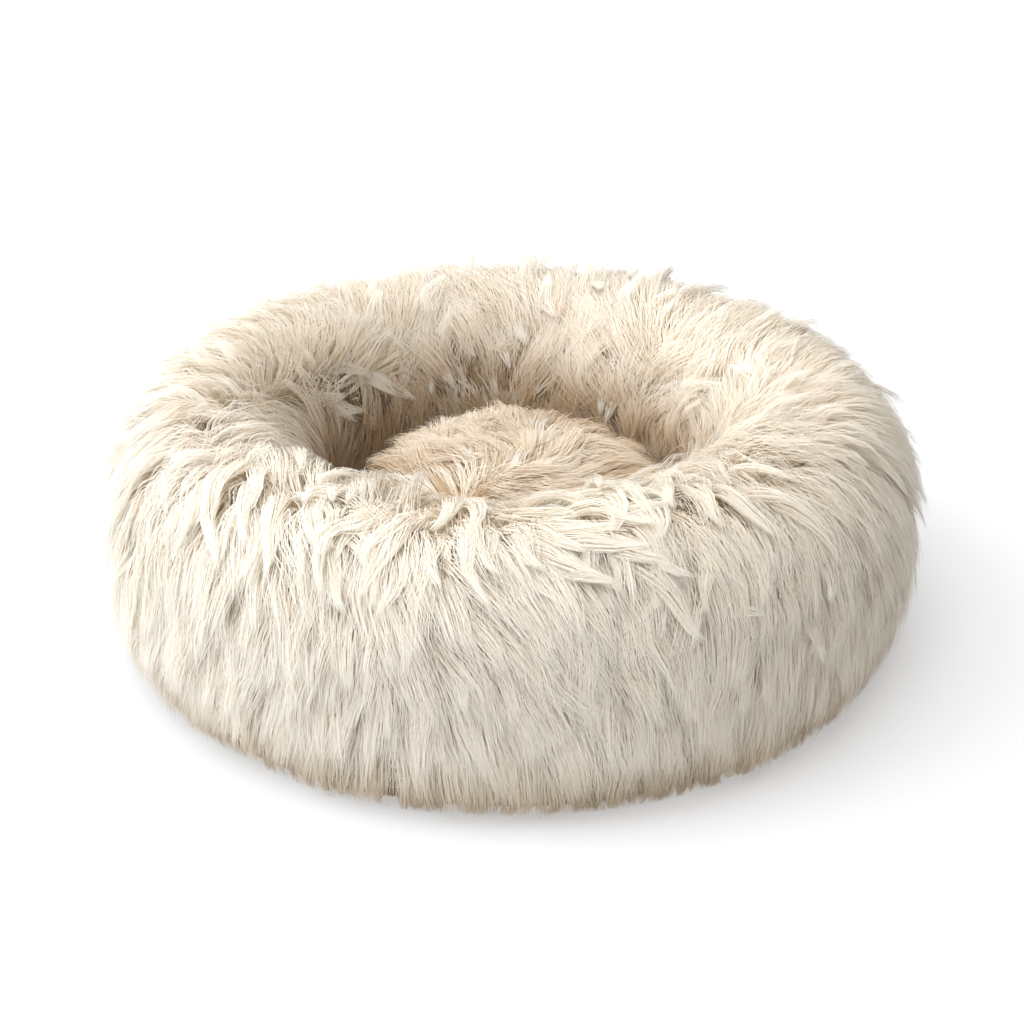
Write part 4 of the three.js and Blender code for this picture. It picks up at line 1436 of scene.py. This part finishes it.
class PETBED_OT_zips(bpy.types.Operator):
    """Makes the two zips: woven tapes, nylon coils, stops, sliders and pulls.
    """

    bl_idname = "pet_bed.zips"
    bl_label = "Zips"

    def execute(self, context):
        look = materials()
        for name, size in ZIPS.items():
            for row, way in (("inner", -1), ("outer", 1)):
                self.tape(f"{name}_{row}", size, way, look)
                self.coil(f"{name}_{row}", size, way, look)
            for cast in ("closed_stop", "open_stop"):
                piece = bevelled(f"{name}_{cast}_crimp", f"{name}_{cast}", 0.0003)
                stand_for(piece, f"{name}_{cast}", size["body"], look["metal"])
            for cast, width in (("slider", 0.00022), ("pull", 0.00028)):
                piece = bevelled(f"{name}_{cast}_casting", f"{name}_{cast}", width)
                stand_for(piece, f"{name}_{cast}", f"{name}_{cast}", look["metal"])
        return {"FINISHED"}

    def tape(self, name, size, way, look):
        """One side's tape, with the corded edge that the coil is sewn to and a row of stitches along it."""
        near = size["radius"] + way * (ROW["far"] + ROW["tape_gap"])
        far = near + way * size["tape"]
        low = size["level"] - CLOTH / 2
        section = [
            (near, low), (near + way * 0.0006, low - 0.00025), (near + way * 0.0012, low), (far, low + 0.0001),
            (far, low + CLOTH), (near, low + CLOTH),
        ]
        tape = turned(f"{name}_webbing", section, size["start"], size["sweep"], 110)
        stand_for(tape, f"{name}_tape", size["body"], look["tape"])
        places = round_places(far - way * 0.002, low, size["start"], size["sweep"], STITCH_PITCH)
        thread = repeated(f"{name}_stitching", stitch_shape(), places)
        stand_for(thread, f"{name}_tape", size["body"], look["thread"])

    def coil(self, name, size, way, look):
        """One row of the coil, half a pitch out of step with the other."""
        middle = size["radius"] + way * (ROW["near"] + ROW["far"]) / 2
        end = math.degrees(0.0033 / size["radius"])
        shift = math.degrees(TOOTH_PITCH / 4 / size["radius"]) * way
        start = size["start"] + end + shift
        places = round_places(middle, size["level"], start, size["sweep"] - 2 * end, TOOTH_PITCH)
        if way > 0:
            places = [place @ Matrix.Rotation(math.pi, 4, "Z") for place in places]
        teeth = repeated(f"{name}_coil", coil_tooth(), places)
        stand_for(teeth, f"{name}_teeth", size["body"], look["nylon"])


class PETBED_OT_stage(bpy.types.Operator):
    """Sets the floor, the soft light and the camera"""

    bl_idname = "pet_bed.stage"
    bl_label = "Studio"

    def execute(self, context):
        stage = context.scene.pet_bed_stage
        bpy.ops.object.select_all(action="DESELECT")
        bpy.ops.mesh.primitive_plane_add(size=stage.floor, location=(0, 0, 0))
        floor = bpy.context.object
        floor.name = "studio_floor"
        dress(floor, materials()["floor"])
        context.scene.world = self.soft_box()
        self.sun("key", (-0.8, 0.0, 0.6), 1.7, 45, (0.94, 1.0, 1.08))
        self.sun("overhead", (-0.1, -0.2, 0.95), 2.45, 60, stage.light)
        self.camera(context, stage)
        context.scene.view_settings.view_transform = "Standard"
        context.scene.cycles.diffuse_bounces = 8
        return {"FINISHED"}

    def soft_box(self):
        """A studio lined with soft light: bright overhead and on the left, dim and warm on the right."""
        world = bpy.data.worlds.new("studio")
        world.use_nodes = True
        tree = world.node_tree
        tree.nodes.clear()
        way = add(tree, "ShaderNodeTexCoord").outputs["Generated"]
        lamp_side = tuple(Vector((-0.8, -0.1, 0.6)).normalized())
        facing = add(
            tree, "ShaderNodeVectorMath", {"operation": "DOT_PRODUCT", 1: lamp_side}, {0: way}
        )
        level = add(
            tree,
            "ShaderNodeMapRange",
            {
                "From Min": -0.3,
                "From Max": 0.85,
                "To Min": 0.0,
                "To Max": 1.0,
                "interpolation_type": "SMOOTHSTEP",
            },
            {"Value": facing.outputs["Value"]},
        )
        tone = add(tree, "ShaderNodeMix", {"data_type": "RGBA"}, {"Factor": level.outputs[0]})
        tone.inputs["A"].default_value = (0.04, 0.03, 0.02, 1.0)
        tone.inputs["B"].default_value = (1.15, 1.21, 1.33, 1.0)
        light = add(tree, "ShaderNodeBackground", {"Strength": 1.0}, {"Color": tone.outputs["Result"]})
        add(tree, "ShaderNodeOutputWorld", links={"Surface": light.outputs[0]})
        return world

    def sun(self, name, towards, strength, softness, colour):
        """A broad light from that direction."""
        lamp = bpy.data.lights.new(name, "SUN")
        lamp.energy = strength
        lamp.angle = math.radians(softness)
        lamp.color = colour
        obj = bpy.data.objects.new(name, lamp)
        obj.rotation_euler = Vector(towards).to_track_quat("Z", "Y").to_euler()
        bpy.context.scene.collection.objects.link(obj)

    def camera(self, context, stage):
        camera = bpy.data.cameras.new("camera")
        camera.lens = stage.lens
        obj = bpy.data.objects.new("camera", camera)
        target = Vector((0.0010, 0, 0.077))
        away = Vector((0, -math.cos(stage.height), math.sin(stage.height)))
        obj.location = target + away * stage.distance
        obj.rotation_euler = away.to_track_quat("Z", "Y").to_euler()
        context.scene.collection.objects.link(obj)
        context.scene.camera = obj


class PETBED_PT_panel(bpy.types.Panel):
    """Lists the bed's settings and its build steps"""

    bl_label = "Pet Bed"
    bl_idname = "PETBED_PT_panel"
    bl_space_type = "VIEW_3D"
    bl_region_type = "UI"
    bl_category = "Pet Bed"

    def draw(self, context):
        for group in (context.scene.pet_bed, context.scene.pet_bed_stage):
            for key in group.bl_rna.properties.keys():
                if key not in ("rna_type", "name"):
                    self.layout.prop(group, key)
        for step in STEPS:
            self.layout.operator(step.bl_idname)


STEPS = (
    PETBED_OT_fillings,
    PETBED_OT_ring_fur,
    PETBED_OT_curls,
    PETBED_OT_cushion_fur,
    PETBED_OT_base,
    PETBED_OT_cushion_base,
    PETBED_OT_zips,
    PETBED_OT_stage,
)
CLASSES = (BedSettings, StageSettings, *STEPS, PETBED_PT_panel)


def register():
    for cls in CLASSES:
        bpy.utils.register_class(cls)
    bpy.types.Scene.pet_bed = PointerProperty(type=BedSettings)
    bpy.types.Scene.pet_bed_stage = PointerProperty(type=StageSettings)


def unregister():
    del bpy.types.Scene.pet_bed_stage
    del bpy.types.Scene.pet_bed
    for cls in reversed(CLASSES):
        bpy.utils.unregister_class(cls)


def main():
    register()
    for step in STEPS:
        group, name = step.bl_idname.split(".")
        getattr(getattr(bpy.ops, group), name)()


if __name__ == "__main__":
    main()
